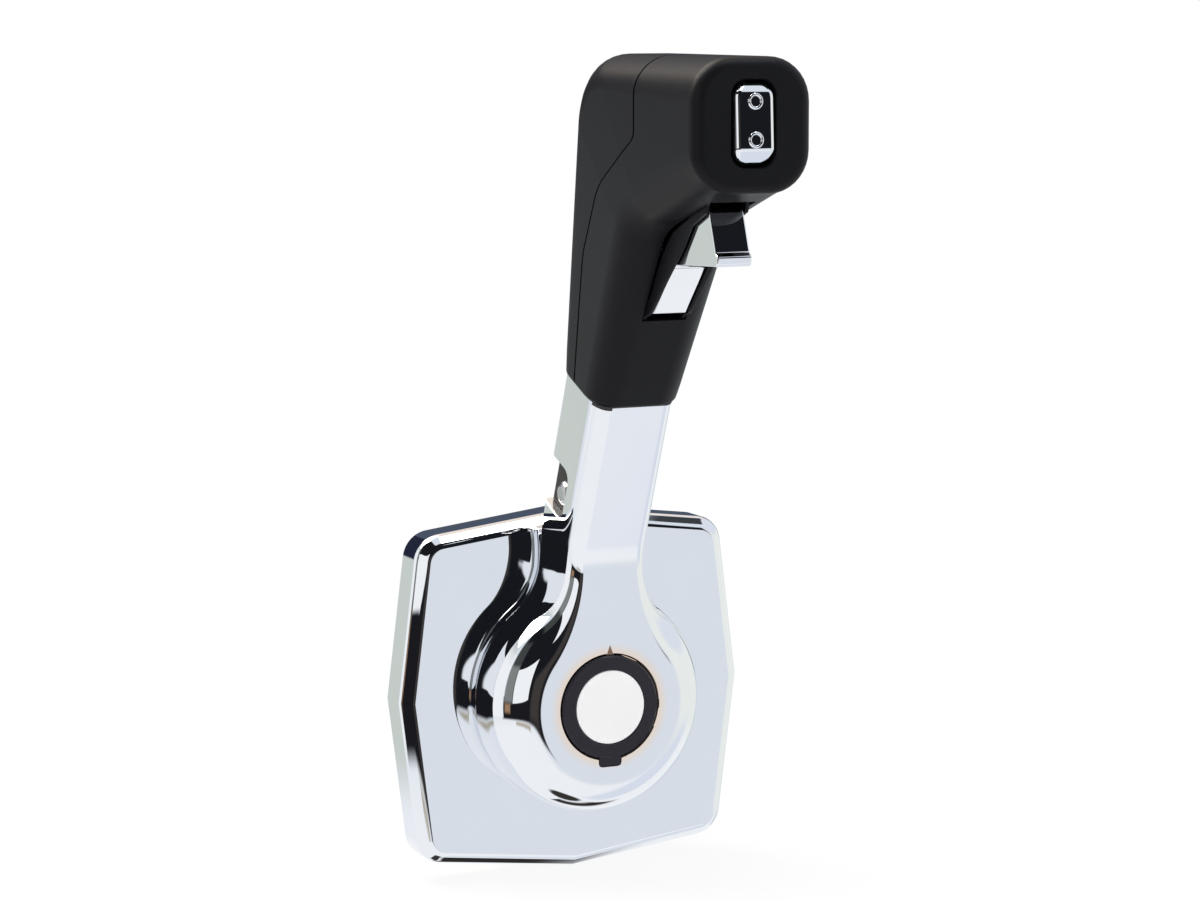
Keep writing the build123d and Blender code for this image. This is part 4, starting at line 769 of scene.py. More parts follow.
# ---------------------------------------------------------------- lever casting
@dataclass
class LeverCasting:
    """The chromed lever: hub, neck, bend and leaning arm in one casting."""

    hub_r: float = 39.5
    flat_r: float = 26.0
    hub_rear: float = -17.0
    shoulder: float = -29.0
    face: float = -45.1
    neck_half: float = 15.0
    neck_flat: float = 10.0
    neck_shoulder: float = -36.0
    flare_top: float = 50.0
    bend_z: float = 45.34
    bend_r: float = 30.0
    bent_rows: int = 4
    rear_r: float = 3.0
    arm_top: float = 97.0
    well_r: float = 18.3
    well_floor: float = -30.0
    dome_steps: int = 18
    well_edge: float = 0.5
    key_half: float = 4.35
    key_reach: float = 10.5
    key_r: float = 1.6
    key_depth: float = 7.3
    mark: tuple[Point2, ...] = ((-1.65, 17.3), (1.65, 17.3), (0.0, 21.7))
    mark_depth: float = 0.6
    bore_r: float = 9.06
    bore_flat: float = 7.56
    hollow: tuple[Point2, ...] = ((35.5, -18.45), (34.0, -18.45), (34.0, -31.0), (30.0, -36.0), (21.5, -36.0),
                                  (21.5, -27.0), (13.5, -27.0))
    recess_low: float = 41.5
    recess_high: float = 59.5
    recess_front: float = 0.6
    recess_rear: float = 22.0
    recess_depth: float = 4.5
    recess_r: float = 4.0
    recess_flare: float = 0.4

    def levels(self) -> list[tuple[float, float, float]]:
        """Depth, disc radius and neck half width of each ring, from the back to the face."""
        rows = []
        for step in range(7):
            angle = math.pi / 2 * step / 6
            inset = self.rear_r * (1 - math.sin(angle))
            rows.append((self.hub_rear - self.rear_r * (1 - math.cos(angle)), self.hub_r - inset,
                         self.neck_half - inset))
        rows.append((self.shoulder + 3.0, self.hub_r, self.neck_half))
        for step in range(self.dome_steps + 1):
            share = math.sin(math.pi / 2 * step / self.dome_steps)
            depth = self.shoulder + (self.face - self.shoulder) * share
            rows.append((depth, self.rounded(depth, self.shoulder, self.hub_r, self.flat_r),
                         self.rounded(depth, self.neck_shoulder, self.neck_half, self.neck_flat)))
        rows.append((self.face, self.flat_r - 0.4, self.neck_flat - 0.4))
        return rows

    def rounded(self, depth: float, shoulder: float, wide: float, narrow: float) -> float:
        """Half size where an elliptical edge runs from wide at the shoulder to narrow at the face."""
        if depth >= shoulder:
            return wide
        share = min((shoulder - depth) / (shoulder - self.face), 1.0)
        return narrow + (wide - narrow) * math.sqrt(max(1 - share**2, 0.0))

    def keyhole(self, disc_r: float, neck: float) -> list[Point2]:
        """Open outline from the right of the neck, round the disc, to the left of the neck."""
        flare = (neck**2 + self.flare_top**2 - disc_r**2) / (2 * (disc_r - neck))
        centre = Vector((neck + flare, self.flare_top))
        touch = centre.normalized() * disc_r
        bent_angle = math.pi + math.asin((self.flare_top - self.bend_z) / flare)
        end_angle = math.atan2(touch.y - centre.y, touch.x - centre.x)
        end_angle = end_angle + 2 * math.pi if end_angle < 0 else end_angle
        angles = [math.pi + (bent_angle - math.pi) * step / self.bent_rows for step in range(self.bent_rows)]
        angles += [bent_angle + (end_angle - bent_angle) * step / 18 for step in range(19)]
        right = [(centre.x + flare * math.cos(angle), centre.y + flare * math.sin(angle)) for angle in angles]
        top = math.atan2(touch.y, touch.x)
        arc = []
        for step in range(1, 84):
            angle = top + (-math.pi - 2 * top) * step / 84
            arc.append((disc_r * math.cos(angle), disc_r * math.sin(angle)))
        return right + arc + [(-x, z) for x, z in reversed(right)]

    def bent(self, x: float, depth: float, height: float) -> Point3:
        """Take a point of the upright neck round the bend and up the arm.

        Args:
            x: Across.
            depth: Depth before the bend.
            height: Height before the bend, along the face.

        Returns:
            The point after the bend.
        """
        lean = math.radians(LEAN_LINE.lean)
        turned = min(max(height - self.bend_z, 0.0) / self.bend_r, lean)
        beyond = max(height - self.bend_z - self.bend_r * lean, 0.0)
        if not turned:
            return x, depth, height
        hinge = self.face - self.bend_r
        return (x, hinge + (depth - hinge) * math.cos(turned) - beyond * math.sin(lean),
                self.bend_z + (depth - hinge) * math.sin(turned) + beyond * math.cos(lean))

    def up_arm(self, x: float, depth: float) -> list[Point3]:
        """Points from just above the neck's top, round the bend and up the arm to its top."""
        end = self.bend_z + self.bend_r * math.radians(LEAN_LINE.lean)
        heights = [self.flare_top + (end - self.flare_top) * step / 10 for step in range(1, 11)]
        path = [self.bent(x, depth, height) for height in heights]
        _, reach = LEAN_LINE.inverse(*path[-1][1:])
        return path + [self.bent(x, depth, end + (self.arm_top - reach) * step / 6) for step in range(1, 7)]

    def section(self, grown: float = 0.0) -> list[Point2]:
        """Outline of the arm across its length, as (across, rear) points, grown by an amount."""
        end = self.bend_z + self.bend_r * math.radians(LEAN_LINE.lean)
        half = [(neck, LEAN_LINE.inverse(*self.bent(0.0, depth, end)[1:])[0])
                for depth, _, neck in self.levels()]
        outline = half + [(-x, n) for x, n in reversed(half)]
        return offset_outline(outline, grown)

    def outer(self) -> Solid:
        """Closed outer skin of the casting."""
        rows = []
        for depth, disc_r, neck in self.levels():
            outline = [self.bent(x, depth, z) for x, z in self.keyhole(disc_r, neck)]
            right, left = self.up_arm(neck, depth), self.up_arm(-neck, depth)
            rows.append(list(reversed(right)) + outline + left)
        count, arm = len(rows[0]), len(self.up_arm(1.0, 0.0)) + self.bent_rows
        points = [p for row in rows for p in row]
        faces: list[Sequence[int]] = []
        for row in range(len(rows) - 1):
            for col in range(count - 1):
                a = row * count + col
                faces.append((a, a + 1, a + count + 1, a + count))
        for base in (0, (len(rows) - 1) * count):
            for col in range(arm):
                mate = count - 1 - col
                faces.append((base + col, base + col + 1, base + mate - 1, base + mate))
            faces.append([base + i for i in range(arm, count - arm)])
        top = [row * count for row in range(len(rows))]
        faces.append(top + [row * count + count - 1 for row in reversed(range(len(rows)))])
        return mesh_object("lever_casting", points, faces)

    def cut_well(self, body: Solid) -> None:
        """Cut the button's well, its key slot and the neutral mark."""
        rim, wide = self.well_r, self.well_r + self.well_edge
        floor, over = self.well_floor, self.face - 2
        well = lathe("well", [(0.0, floor), (rim, floor), (rim, self.face + self.well_edge),
                              (wide, self.face), (wide, over), (0.0, over)])
        combine(body, well, Side.CUT)
        slot = rounded_rectangle(self.key_half, self.key_reach, self.key_r, 6)
        key = prism("key", [(x, z - self.key_reach) for x, z in slot], facing, self.face + self.key_depth,
                    self.face - 1)
        combine(body, key, Side.CUT)
        combine(body, prism("mark", self.mark, facing, self.face + self.mark_depth, self.face - 1), Side.CUT)

    def cut_rear(self, body: Solid) -> None:
        """Cut the hollow behind the hub and the drive bore."""
        behind = self.hub_rear + 1
        open_end = [(self.hollow[-1][0], behind), (self.hollow[0][0], behind)]
        combine(body, lathe("hollow", open_end + list(self.hollow), 64), Side.CUT)
        bore = lathe("bore", [(0.0, behind), (self.bore_r, behind), (self.bore_r, self.well_floor - 1),
                              (0.0, self.well_floor - 1)], 64)
        flat, tall = self.bore_flat, 12
        flats = prism("flats", [(-flat, -tall), (flat, -tall), (flat, tall), (-flat, tall)], facing,
                      self.hub_rear + 2, self.well_floor - 2)
        combine(bore, flats, Side.KEEP)
        combine(body, bore, Side.CUT)

    def cut_recesses(self, body: Solid) -> None:
        """Cut the slot on each side of the arm, open to its rear."""
        radius = self.recess_r
        outline = [(self.recess_rear, self.recess_low), (self.recess_rear, self.recess_high)]
        for centre_w, start in ((self.recess_high - radius, 90.0), (self.recess_low + radius, 180.0)):
            for step in range(9):
                angle = math.radians(start + 90.0 * step / 8)
                outline.append((self.recess_front + radius + radius * math.cos(angle),
                                centre_w + radius * math.sin(angle)))
        for sign in (-1.0, 1.0):
            def place(n: float, w: float, across: float, sign: float = sign) -> Point3:
                """Point on the arm's side."""
                return LEAN_LINE.at(sign * across, n, w)

            cutter = prism("recess", outline, place, self.neck_half - self.recess_depth,
                           self.neck_half + self.recess_flare / 2, self.recess_flare)
            combine(body, cutter, Side.CUT)

    def build(self) -> None:
        """Make the casting and dress it in chrome."""
        body = self.outer()
        self.cut_well(body)
        self.cut_rear(body)
        self.cut_recesses(body)
        soften(body, 0.0, 30.0)
        dress(body, Finishes.HUB, "lever", "lever_arm")


# ---------------------------------------------------------------- grip
@dataclass(frozen=True)
class BentPath:
    """Side-view line, arc and line through one rounded corner."""

    low: Point2
    corner: Point2
    end: Point2
    radius: float

    def arc(self) -> tuple[Vector, float, float]:
        """Centre of the arc, and its start and end angles."""
        corner = Vector(self.corner)
        inward = (Vector(self.low) - corner).normalized()
        outward = (Vector(self.end) - corner).normalized()
        half = inward.angle(outward) / 2
        centre = corner + (inward + outward).normalized() * self.radius / math.sin(half)
        first = corner + inward * self.radius / math.tan(half) - centre
        last = corner + outward * self.radius / math.tan(half) - centre
        start, stop = math.atan2(first.y, first.x), math.atan2(last.y, last.x)
        if stop - start > math.pi:
            stop -= 2 * math.pi
        if start - stop > math.pi:
            stop += 2 * math.pi
        return centre, start, stop

    def turn(self, share: float) -> Point2:
        """Point on the arc."""
        centre, start, stop = self.arc()
        angle = start + (stop - start) * share
        return centre.x + self.radius * math.cos(angle), centre.y + self.radius * math.sin(angle)


def between(a: Point2, b: Point2, share: float) -> Point2:
    """Point part of the way from a to b."""
    return a[0] + (b[0] - a[0]) * share, a[1] + (b[1] - a[1]) * share


@dataclass
class Grip:
    """Black two-part grip with its screws, trigger slot and rocker window."""

    arm: LeverCasting
    base_w: float = 92.0
    base_half: float = 16.8
    base_corner: float = 10.0
    throat_half: float = 20.3
    throat_corner: float = 13.0
    head_half: float = 20.8
    head_corner: float = 14.0
    head_top: float = 224.0
    head_low: float = 180.5
    head_face: float = -151.0
    face_r: float = 4.0
    base_r: float = 1.5
    wall: float = 2.6
    room_w: float = 98.0
    seam: tuple[Point2, ...] = ((-48.5, 98.0), (-64.5, 158.0), (-79.0, 181.0), (-108.0, 198.0),
                                (-108.0, 240.0))
    seam_bends: tuple[float, ...] = (25.0, 25.0, 4.0)
    seam_gap: float = 1.0
    screw_x: float = 14.2
    screw_z: float = 203.0
    screw_seat: float = -60.0
    base_screws: tuple[float, float] = (104.0, 114.0)
    base_seat: float = 16.0
    post_r: float = 3.4
    hole_r: float = 1.5
    seat_r: float = 2.8
    pilot_r: float = 1.45
    post_run: Point2 = (-40.0, -147.0)
    hole_run: Point2 = (-30.0, -95.0)
    pilot_run: Point2 = (-80.0, -99.0)
    base_post_run: Point2 = (10.3, 30.0)
    base_hole_run: Point2 = (5.0, 40.0)
    rear_n: float = 20.0
    front_n: float = -13.4
    slot_half: float = 8.0
    slot: tuple[Point2, ...] = ((-80.0, 138.2), (-95.0, 135.8), (-150.0, 150.0), (-137.6, 170.0),
                                (-137.6, 186.0), (-118.0, 183.0), (-100.0, 172.0), (-80.0, 150.0))
    window_half: Point2 = (7.6, 13.6)
    window_r: float = 5.0
    window_z: float = 203.3
    window_flare: float = 0.4
    crown: BentPath = field(default_factory=lambda: BentPath(LEAN_LINE.side(20.0, 92.0), (-60.5, 224.0),
                                                             (-151.0, 224.0), 20.0))
    throat: BentPath = field(default_factory=lambda: BentPath(LEAN_LINE.side(-13.4, 92.0), (-105.5, 168.2),
                                                              (-151.0, 180.5), 20.0))

    def ring(self, rear: Point2, front: Point2, half: float, corner: float, inset: float) -> Ring:
        """Rounded section that stands between a rear and a front point of the side view."""
        rear_v, front_v = Vector(rear), Vector(front)
        along = (rear_v - front_v).normalized()
        middle = (rear_v + front_v) / 2
        depth = (rear_v - front_v).length / 2 - inset
        return [(a, middle.x + along.x * b, middle.y + along.y * b)
                for a, b in rounded_rectangle(half - inset, depth, corner - inset, 9)]

    def rings(self, low_w: float, face: float, inset: float, rounded: bool) -> list[Ring]:
        """Sections from the base, up and round the turn, out to the face."""
        first_rear, first_front = self.crown.turn(0.0), self.throat.turn(0.0)
        whole = (Vector(first_front) - Vector(self.throat.low)).length
        rear_len = (Vector(first_rear) - Vector(self.crown.low)).length
        start = (low_w - self.base_w) / (LEAN_LINE.inverse(*first_front)[1] - self.base_w)
        rows = []

        def straight(share: float, more: float) -> Ring:
            """Section on the straight part, share of the way to the turn."""
            lowest = share < start + 1e-9
            rear = between(self.crown.low, first_rear, share * whole / rear_len if lowest else share)
            front = between(self.throat.low, first_front, share)
            half = self.base_half + share * (self.throat_half - self.base_half)
            corner = self.base_corner + share * (self.throat_corner - self.base_corner)
            return self.ring(rear, front, half, corner, inset + more)

        if rounded:
            rows = [self.base_ring(step) for step in range(7)]
            start += self.base_r / whole
        else:
            rows.append(straight(start, 0.0))
        for step in range(1, 13):
            rows.append(straight(start + (1 - start) * step / 13, 0.0))
        for step in range(33):
            t = step / 32
            rows.append(self.ring(self.crown.turn(t), self.throat.turn(t),
                                  self.throat_half + t * (self.head_half - self.throat_half),
                                  self.throat_corner + t * (self.head_corner - self.throat_corner), inset))
        last_rear, last_front = self.crown.turn(1.0), self.throat.turn(1.0)
        stop = self.face_r if rounded else 0.0
        for step in range(1, 9):
            share = step / 8
            rear = between(last_rear, (face + stop, self.head_top), share)
            front = between(last_front, (face + stop, self.head_low + stop * 0.27), share)
            rows.append(self.ring(rear, front, self.head_half, self.head_corner, inset))
        if rounded:
            for step in range(1, 9):
                angle = math.pi / 2 * step / 8
                depth = face + stop * (1 - math.sin(angle))
                rows.append(self.ring((depth, self.head_top), (depth, self.head_low + (depth - face) * 0.27),
                                      self.head_half, self.head_corner, stop * (1 - math.cos(angle))))
        return rows

    def base_ring(self, step: int) -> Ring:
        """One section of the rounded bottom edge, from the flat underside up."""
        angle = math.pi / 2 * step / 6
        rise, inset = self.base_r * (1 - math.cos(angle)), self.base_r * (1 - math.sin(angle))
        rear = LEAN_LINE.side(self.rear_n, self.base_w + rise)
        front = LEAN_LINE.side(self.front_n, self.base_w + rise)
        return self.ring(rear, front, self.base_half, self.base_corner, inset)

    def hollow(self) -> Solid:
        """The whole grip as one hollow body with its screw posts."""
        body = skinned("grip", self.rings(self.base_w, self.head_face, 0.0, True))
        room = skinned("room", self.rings(self.room_w, self.head_face + self.wall, self.wall, False))
        for x in (-self.screw_x, self.screw_x):
            combine(room, self.rod(x, self.screw_z, self.post_r, *self.post_run), Side.CUT)
        for w in self.base_screws:
            combine(room, self.lean_rod(self.post_r, *self.base_post_run, w), Side.CUT)
        combine(body, room, Side.CUT)
        socket = prism("socket", self.arm.section(0.06), LEAN_LINE.at, self.base_w - 8, self.room_w + 0.3)
        combine(body, socket, Side.CUT)
        return body

    def rod(self, x: float, z: float, radius: float, rear: float, front: float) -> Solid:
        """Round cutter along Y."""
        return lathe("rod", [(0.0, rear), (radius, rear), (radius, front), (0.0, front)], 32, x, z)

    def lean_rod(self, radius: float, start: float, end: float, w: float) -> Solid:
        """Round cutter square to the lean line."""
        angles = [2 * math.pi * step / 32 for step in range(32)]
        ring = [(radius * math.cos(angle), radius * math.sin(angle)) for angle in angles]
        return prism("rod", ring, lambda a, b, n: LEAN_LINE.at(a, n, w + b), start, end)

    def side_cutter(self, outline: Sequence[Point2], half: float) -> Solid:
        """Side-view outline extruded to both sides."""
        return prism("side", outline, sideways, -half, half)

    def seam_outline(self, shift: float) -> list[Point2]:
        """Outline of everything behind the seam, its bends rounded."""
        line, below = [(y + shift, z) for y, z in self.seam], self.seam[0][1] - 30.0
        outline = [line[0]]
        for before, corner, after, radius in zip(line, line[1:], line[2:], self.seam_bends):
            bend = BentPath(before, corner, after, radius)
            outline += [bend.turn(step / 16) for step in range(17)]
        return outline + [line[-1], (20.0, line[-1][1]), (20.0, below), (line[0][0] + 8.0, below)]

    def build(self) -> None:
        """Make both shells and dress them."""
        rear = self.hollow()
        front = copy_of(rear, "grip_front")
        rear.name = "grip_rear"
        combine(rear, self.side_cutter(self.seam_outline(self.seam_gap / 2), 60.0), Side.KEEP)
        combine(front, self.side_cutter(self.seam_outline(-self.seam_gap / 2), 60.0), Side.CUT)
        for x in (-self.screw_x, self.screw_x):
            combine(rear, self.rod(x, self.screw_z, self.hole_r, *self.hole_run), Side.CUT)
            combine(rear, self.rod(x, self.screw_z, self.seat_r, self.hole_run[0], self.screw_seat), Side.CUT)
            combine(front, self.rod(x, self.screw_z, self.pilot_r, *self.pilot_run), Side.CUT)
        for w in self.base_screws:
            combine(rear, self.lean_rod(self.hole_r, *self.base_hole_run, w), Side.CUT)
            combine(rear, self.lean_rod(self.seat_r, self.base_seat, self.base_hole_run[1], w), Side.CUT)
        combine(front, self.side_cutter(self.slot, self.slot_half), Side.CUT)
        window = [(a, b + self.window_z) for a, b in rounded_rectangle(*self.window_half, self.window_r, 8)]
        combine(front, prism("window", window, facing, self.head_face + self.wall + 1, self.head_face,
                             self.window_flare), Side.CUT)
        for shell, node in ((rear, "grip_rear_shell"), (front, "grip_front_shell")):
            soften(shell, 0.0, 34.0)
            dress(shell, Finishes.GRIP, "lever", node)


# ---------------------------------------------------------------- screws
@dataclass(frozen=True)
class Screw:
    """A round-headed screw with a hexagon socket.

    Attributes:
        head_r: Head radius.
        head_h: Head height.
        shank_r: Shank radius.
        length: Shank length under the head.
        segments: Sides of the head and shank.
    """

    head_r: float
    head_h: float
    shank_r: float
    length: float
    segments: int = 36

    def tree(self, name: str, material: bpy.types.Material) -> Growth:
        """Tree that grows this screw at each place, its seat on the point.

        Args:
            name: Name of the tree.
            material: Material of the screws.

        Returns:
            The tree.
        """
        grow = Growth(name)
        shank, length = grow.size("Shank Radius", self.shank_r), grow.size("Length", self.length)
        head, height = grow.size("Head Radius", self.head_r), grow.size("Head Height", self.head_h)
        disc = grow.add("GeometryNodeMeshCircle", fill_type="NGON")
        disc.inputs["Vertices"].default_value = self.segments
        grow.feed(disc, "Radius", shank)
        sunk = grow.add("GeometryNodeTransform")
        grow.feed(sunk, "Geometry", disc.outputs["Mesh"])
        grow.feed(sunk, "Translation", grow.along_z(grow.math("MULTIPLY", length, -1.0)))
        end = grow.add("GeometryNodeFlipFaces")
        grow.feed(end, "Mesh", sunk.outputs["Geometry"])
        step = self.raised(grow, sunk.outputs["Geometry"], None, length)
        step = self.raised(grow, *step, 0.0, grow.math("DIVIDE", head, shank))
        step = self.raised(grow, *step, grow.math("MULTIPLY", height, 0.55))
        step = self.raised(grow, *step, grow.math("MULTIPLY", height, 0.28), 0.95)
        step = self.raised(grow, *step, grow.math("MULTIPLY", height, 0.17), 0.82)
        step = self.raised(grow, *step, 0.0, 0.66)
        step = self.raised(grow, self.hexagonal(grow, *step), step[1], grow.math("MULTIPLY", height, -0.6))
        both = grow.add("GeometryNodeJoinGeometry")
        grow.group.links.new(step[0], both.inputs[0])
        grow.group.links.new(end.outputs["Mesh"], both.inputs[0])
        whole = grow.add("GeometryNodeMergeByDistance")
        grow.feed(whole, "Geometry", both.outputs[0])
        grow.feed(whole, "Distance", 1e-6)
        grow.place(whole.outputs["Geometry"], material)
        return grow

    def raised(self, grow: Growth, mesh: Socket, top: Optional[Socket],
               rise: object, scale: object = None) -> tuple[Socket, Socket]:
        """Extrude the top face and scale it.

        Args:
            grow: Tree to add to.
            mesh: Mesh so far.
            top: Selection of the top face, or None for every face.
            rise: How far it moves along its normal.
            scale: How much it grows.

        Returns:
            The mesh and the new top's selection.
        """
        pull = grow.add("GeometryNodeExtrudeMesh", mode="FACES")
        grow.feed(pull, "Mesh", mesh)
        if top is not None:
            grow.feed(pull, "Selection", top)
        grow.feed(pull, "Offset Scale", rise)
        grow.feed(pull, "Individual", False)
        if scale is None:
            return pull.outputs["Mesh"], pull.outputs["Top"]
        size = grow.add("GeometryNodeScaleElements")
        grow.feed(size, "Geometry", pull.outputs["Mesh"])
        grow.feed(size, "Selection", pull.outputs["Top"])
        grow.feed(size, "Scale", scale)
        return size.outputs["Geometry"], pull.outputs["Top"]

    def hexagonal(self, grow: Growth, mesh: Socket, top: Socket) -> Socket:
        """Pull the top face's round rim in to a hexagon."""
        here = grow.add("GeometryNodeInputPosition")
        split = grow.add("ShaderNodeSeparateXYZ")
        grow.group.links.new(here.outputs[0], split.inputs[0])
        turn = grow.math("ARCTAN2", split.outputs["Y"], split.outputs["X"])
        sixth = grow.math("SUBTRACT", grow.math("FLOORED_MODULO", turn, math.pi / 3), math.pi / 6)
        share = grow.math("DIVIDE", math.cos(math.pi / 6), grow.math("COSINE", sixth))
        shaped = grow.add("ShaderNodeCombineXYZ")
        for axis in ("X", "Y"):
            grow.feed(shaped, axis, grow.math("MULTIPLY", split.outputs[axis], share))
        grow.feed(shaped, "Z", split.outputs["Z"])
        move = grow.add("GeometryNodeSetPosition")
        grow.feed(move, "Geometry", mesh)
        grow.feed(move, "Selection", top)
        grow.feed(move, "Position", shaped.outputs[0])
        return move.outputs["Geometry"]


@dataclass
class Fixings:
    """Screws of the rear cover, the chassis and the grip."""

    rearward: Point3 = (0.0, 1.0, 0.0)
    forward: Point3 = (0.0, -1.0, 0.0)
    cover_screw: Screw = Screw(3.6, 2.4, 2.0, 12.0)
    chassis_screw: Screw = Screw(3.6, 2.4, 2.0, 18.5)
    head_screw: Screw = Screw(2.6, 2.0, 1.4, 38.0)
    base_screw: Screw = Screw(2.6, 2.0, 1.4, 10.0)
    cover_at: Point3 = (22.5, 51.0, 42.5)
    chassis_at: Point3 = (18.0, -9.5, 36.0)

    def four(self, at: Point3) -> list[Point3]:
        """The same place in all four corners."""
        x, y, z = at
        return [(a * x, y, b * z) for a in (-1, 1) for b in (-1, 1)]

    def set_of(self, name: str, screw: Screw, points: Iterable[Point3], aim: Point3) -> Solid:
        """Grow a set of equal screws.

        Args:
            name: Name of the piece.
            screw: The screw.
            points: Seats in millimetres.
            aim: Direction that the heads face.

        Returns:
            The screws as one object.
        """
        made = screw.tree(name, Finishes.ZINC.material()).grow(name, [(p, aim) for p in points])
        soften(made, 0.0, 30.0)
        return made

    def build(self, grip: Grip) -> None:
        """Grow every set and dress it.

        Args:
            grip: The grip, for its screws' places.
        """
        cover = self.set_of("rear_cover_screws", self.cover_screw, self.four(self.cover_at), self.rearward)
        dress(cover, Finishes.ZINC, "base", "cover_screws")
        chassis = self.set_of("chassis_fixings", self.chassis_screw, self.four(self.chassis_at), self.forward)
        dress(chassis, Finishes.ZINC, "base", "chassis_screws")
        heads = [(x, grip.screw_seat, grip.screw_z) for x in (-grip.screw_x, grip.screw_x)]
        upper = self.set_of("grip_fixings", self.head_screw, heads, self.rearward)
        bases = [LEAN_LINE.at(0.0, grip.base_seat, w) for w in grip.base_screws]
        back = Vector(LEAN_LINE.at(0.0, 1.0, 0.0)) - Vector(LEAN_LINE.at(0.0, 0.0, 0.0))
        lower = self.set_of("grip_base_fixings", self.base_screw, bases, tuple(back))
        join_to(upper, lower)
        dress(upper, Finishes.ZINC, "lever", "grip_screws")


def join_to(target: Solid, other: Solid) -> None:
    """Add another object's mesh to a target and drop the other."""
    form = bmesh.new()
    form.from_mesh(target.data)
    form.from_mesh(other.data)
    form.to_mesh(target.data)
    form.free()
    discard(other)


# ---------------------------------------------------------------- trigger, rocker and neutral mark
def filleted(corners: Sequence[Point2], radii: dict[int, float], steps: int = 8) -> list[Point2]:
    """Closed outline with some of its corners rounded.

    Args:
        corners: Corner points in order.
        radii: Radius of each rounded corner, by its number.
        steps: Steps round each corner.

    Returns:
        The outline's points.
    """
    outline: list[Point2] = []
    for number, corner in enumerate(corners):
        if number in radii:
            bend = BentPath(corners[number - 1], corner, corners[(number + 1) % len(corners)], radii[number])
            outline += [bend.turn(step / steps) for step in range(steps + 1)]
        else:
            outline.append(corner)
    return outline


@dataclass
class SealAndShadowLine:
    """Thin rubber seal between the arm and the grip, deeper round the arm's front left corner; also a painted
    shadow line.
    """

    arm: LeverCasting
    low: float = 91.5
    high: float = 92.1
    lip: float = 0.35
    bite: float = 0.3
    tab_low: float = 90.7
    tab_lip: float = 0.55
    tab_from: float = -14.2
    tab_to: float = -8.6

    def build(self) -> None:
        """Make the seal and dress it."""
        corners = ((self.lip, self.low), (self.lip, self.high),
                   (-self.bite, self.high), (-self.bite, self.low))
        loops = [[LEAN_LINE.at(x, n, w) for x, n in self.arm.section(grown)] for grown, w in corners]
        # Painted shade: the seal's black also draws the shadow line in the joint between arm and grip.
        seal = skinned("arm_collar_shadow_line", loops + loops[:1], caps=False)
        middle = sum(n for _, n in self.arm.section()) / len(self.arm.section())
        both = zip(self.arm.section(-self.bite), self.arm.section(self.tab_lip))
        pairs = [(inner, outer) for inner, outer in both
                 if self.tab_from < inner[0] < self.tab_to and inner[1] < middle]
        outline = [outer for _, outer in pairs] + [inner for inner, _ in reversed(pairs)]
        join_to(seal, prism("tab", outline, LEAN_LINE.at, self.tab_low, self.high))
        soften(seal, 0.0, 30.0)
        dress(seal, Finishes.RUBBER, "lever", "grip_collar")


@dataclass
class FingerTrigger:
    """Chromed trigger: blade in the grip, lip under the fingers, face up into the head."""

    half: float = 6.08
    corners: tuple[Point2, ...] = (
        (-91.5, 139.8), (-105.8, 155.4), (-107.4, 156.8), (-138.0, 158.2), (-138.4, 161.4), (-136.9, 162.6),
        (-131.6, 177.6), (-127.2, 177.8), (-116.0, 176.0), (-105.0, 169.0), (-97.0, 160.5), (-91.0, 153.0),
        (-84.0, 142.0), (-84.6, 139.9))
    radii: dict[int, float] = field(default_factory=lambda: {0: 0.8, 3: 1.3, 4: 0.9, 5: 1.2, 6: 0.5})
    edge: float = 1.0

    def build(self) -> None:
        """Make the trigger and dress it."""
        body = prism("finger_trigger", filleted(self.corners, self.radii), sideways, -self.half, self.half)
        soften(body, self.edge, 46.0, 4)
        dress(body, Finishes.CHROME, "trigger", "interlock_trigger")


@dataclass
class TriggerCheeks:
    """Black cheeks that fill the grip's slot on both sides of the trigger."""

    inner: float = 6.4
    outer: float = 7.7
    corners: tuple[Point2, ...] = (
        (-134.6, 180.5), (-132.6, 174.8), (-122.1, 170.1), (-115.9, 162.6), (-111.9, 158.8), (-103.8, 151.2),
        (-93.9, 141.2), (-91.7, 139.5), (-88.6, 138.7), (-85.6, 136.4), (-84.6, 134.4), (-83.2, 134.4),
        (-84.4, 138.6), (-88.6, 142.0), (-93.2, 146.4), (-97.5, 153.8), (-102.2, 160.3), (-105.1, 163.5),
        (-109.8, 167.8), (-119.4, 172.0), (-130.5, 177.0), (-131.0, 180.5))

    def build(self) -> None:
        """Make both cheeks and dress them."""
        cheeks = prism("trigger_cheeks", self.corners, sideways, -self.outer, -self.inner)
        join_to(cheeks, prism("cheek", self.corners, sideways, self.inner, self.outer))
        soften(cheeks, 0.3, 30.0)
        dress(cheeks, Finishes.GRIP, "lever")


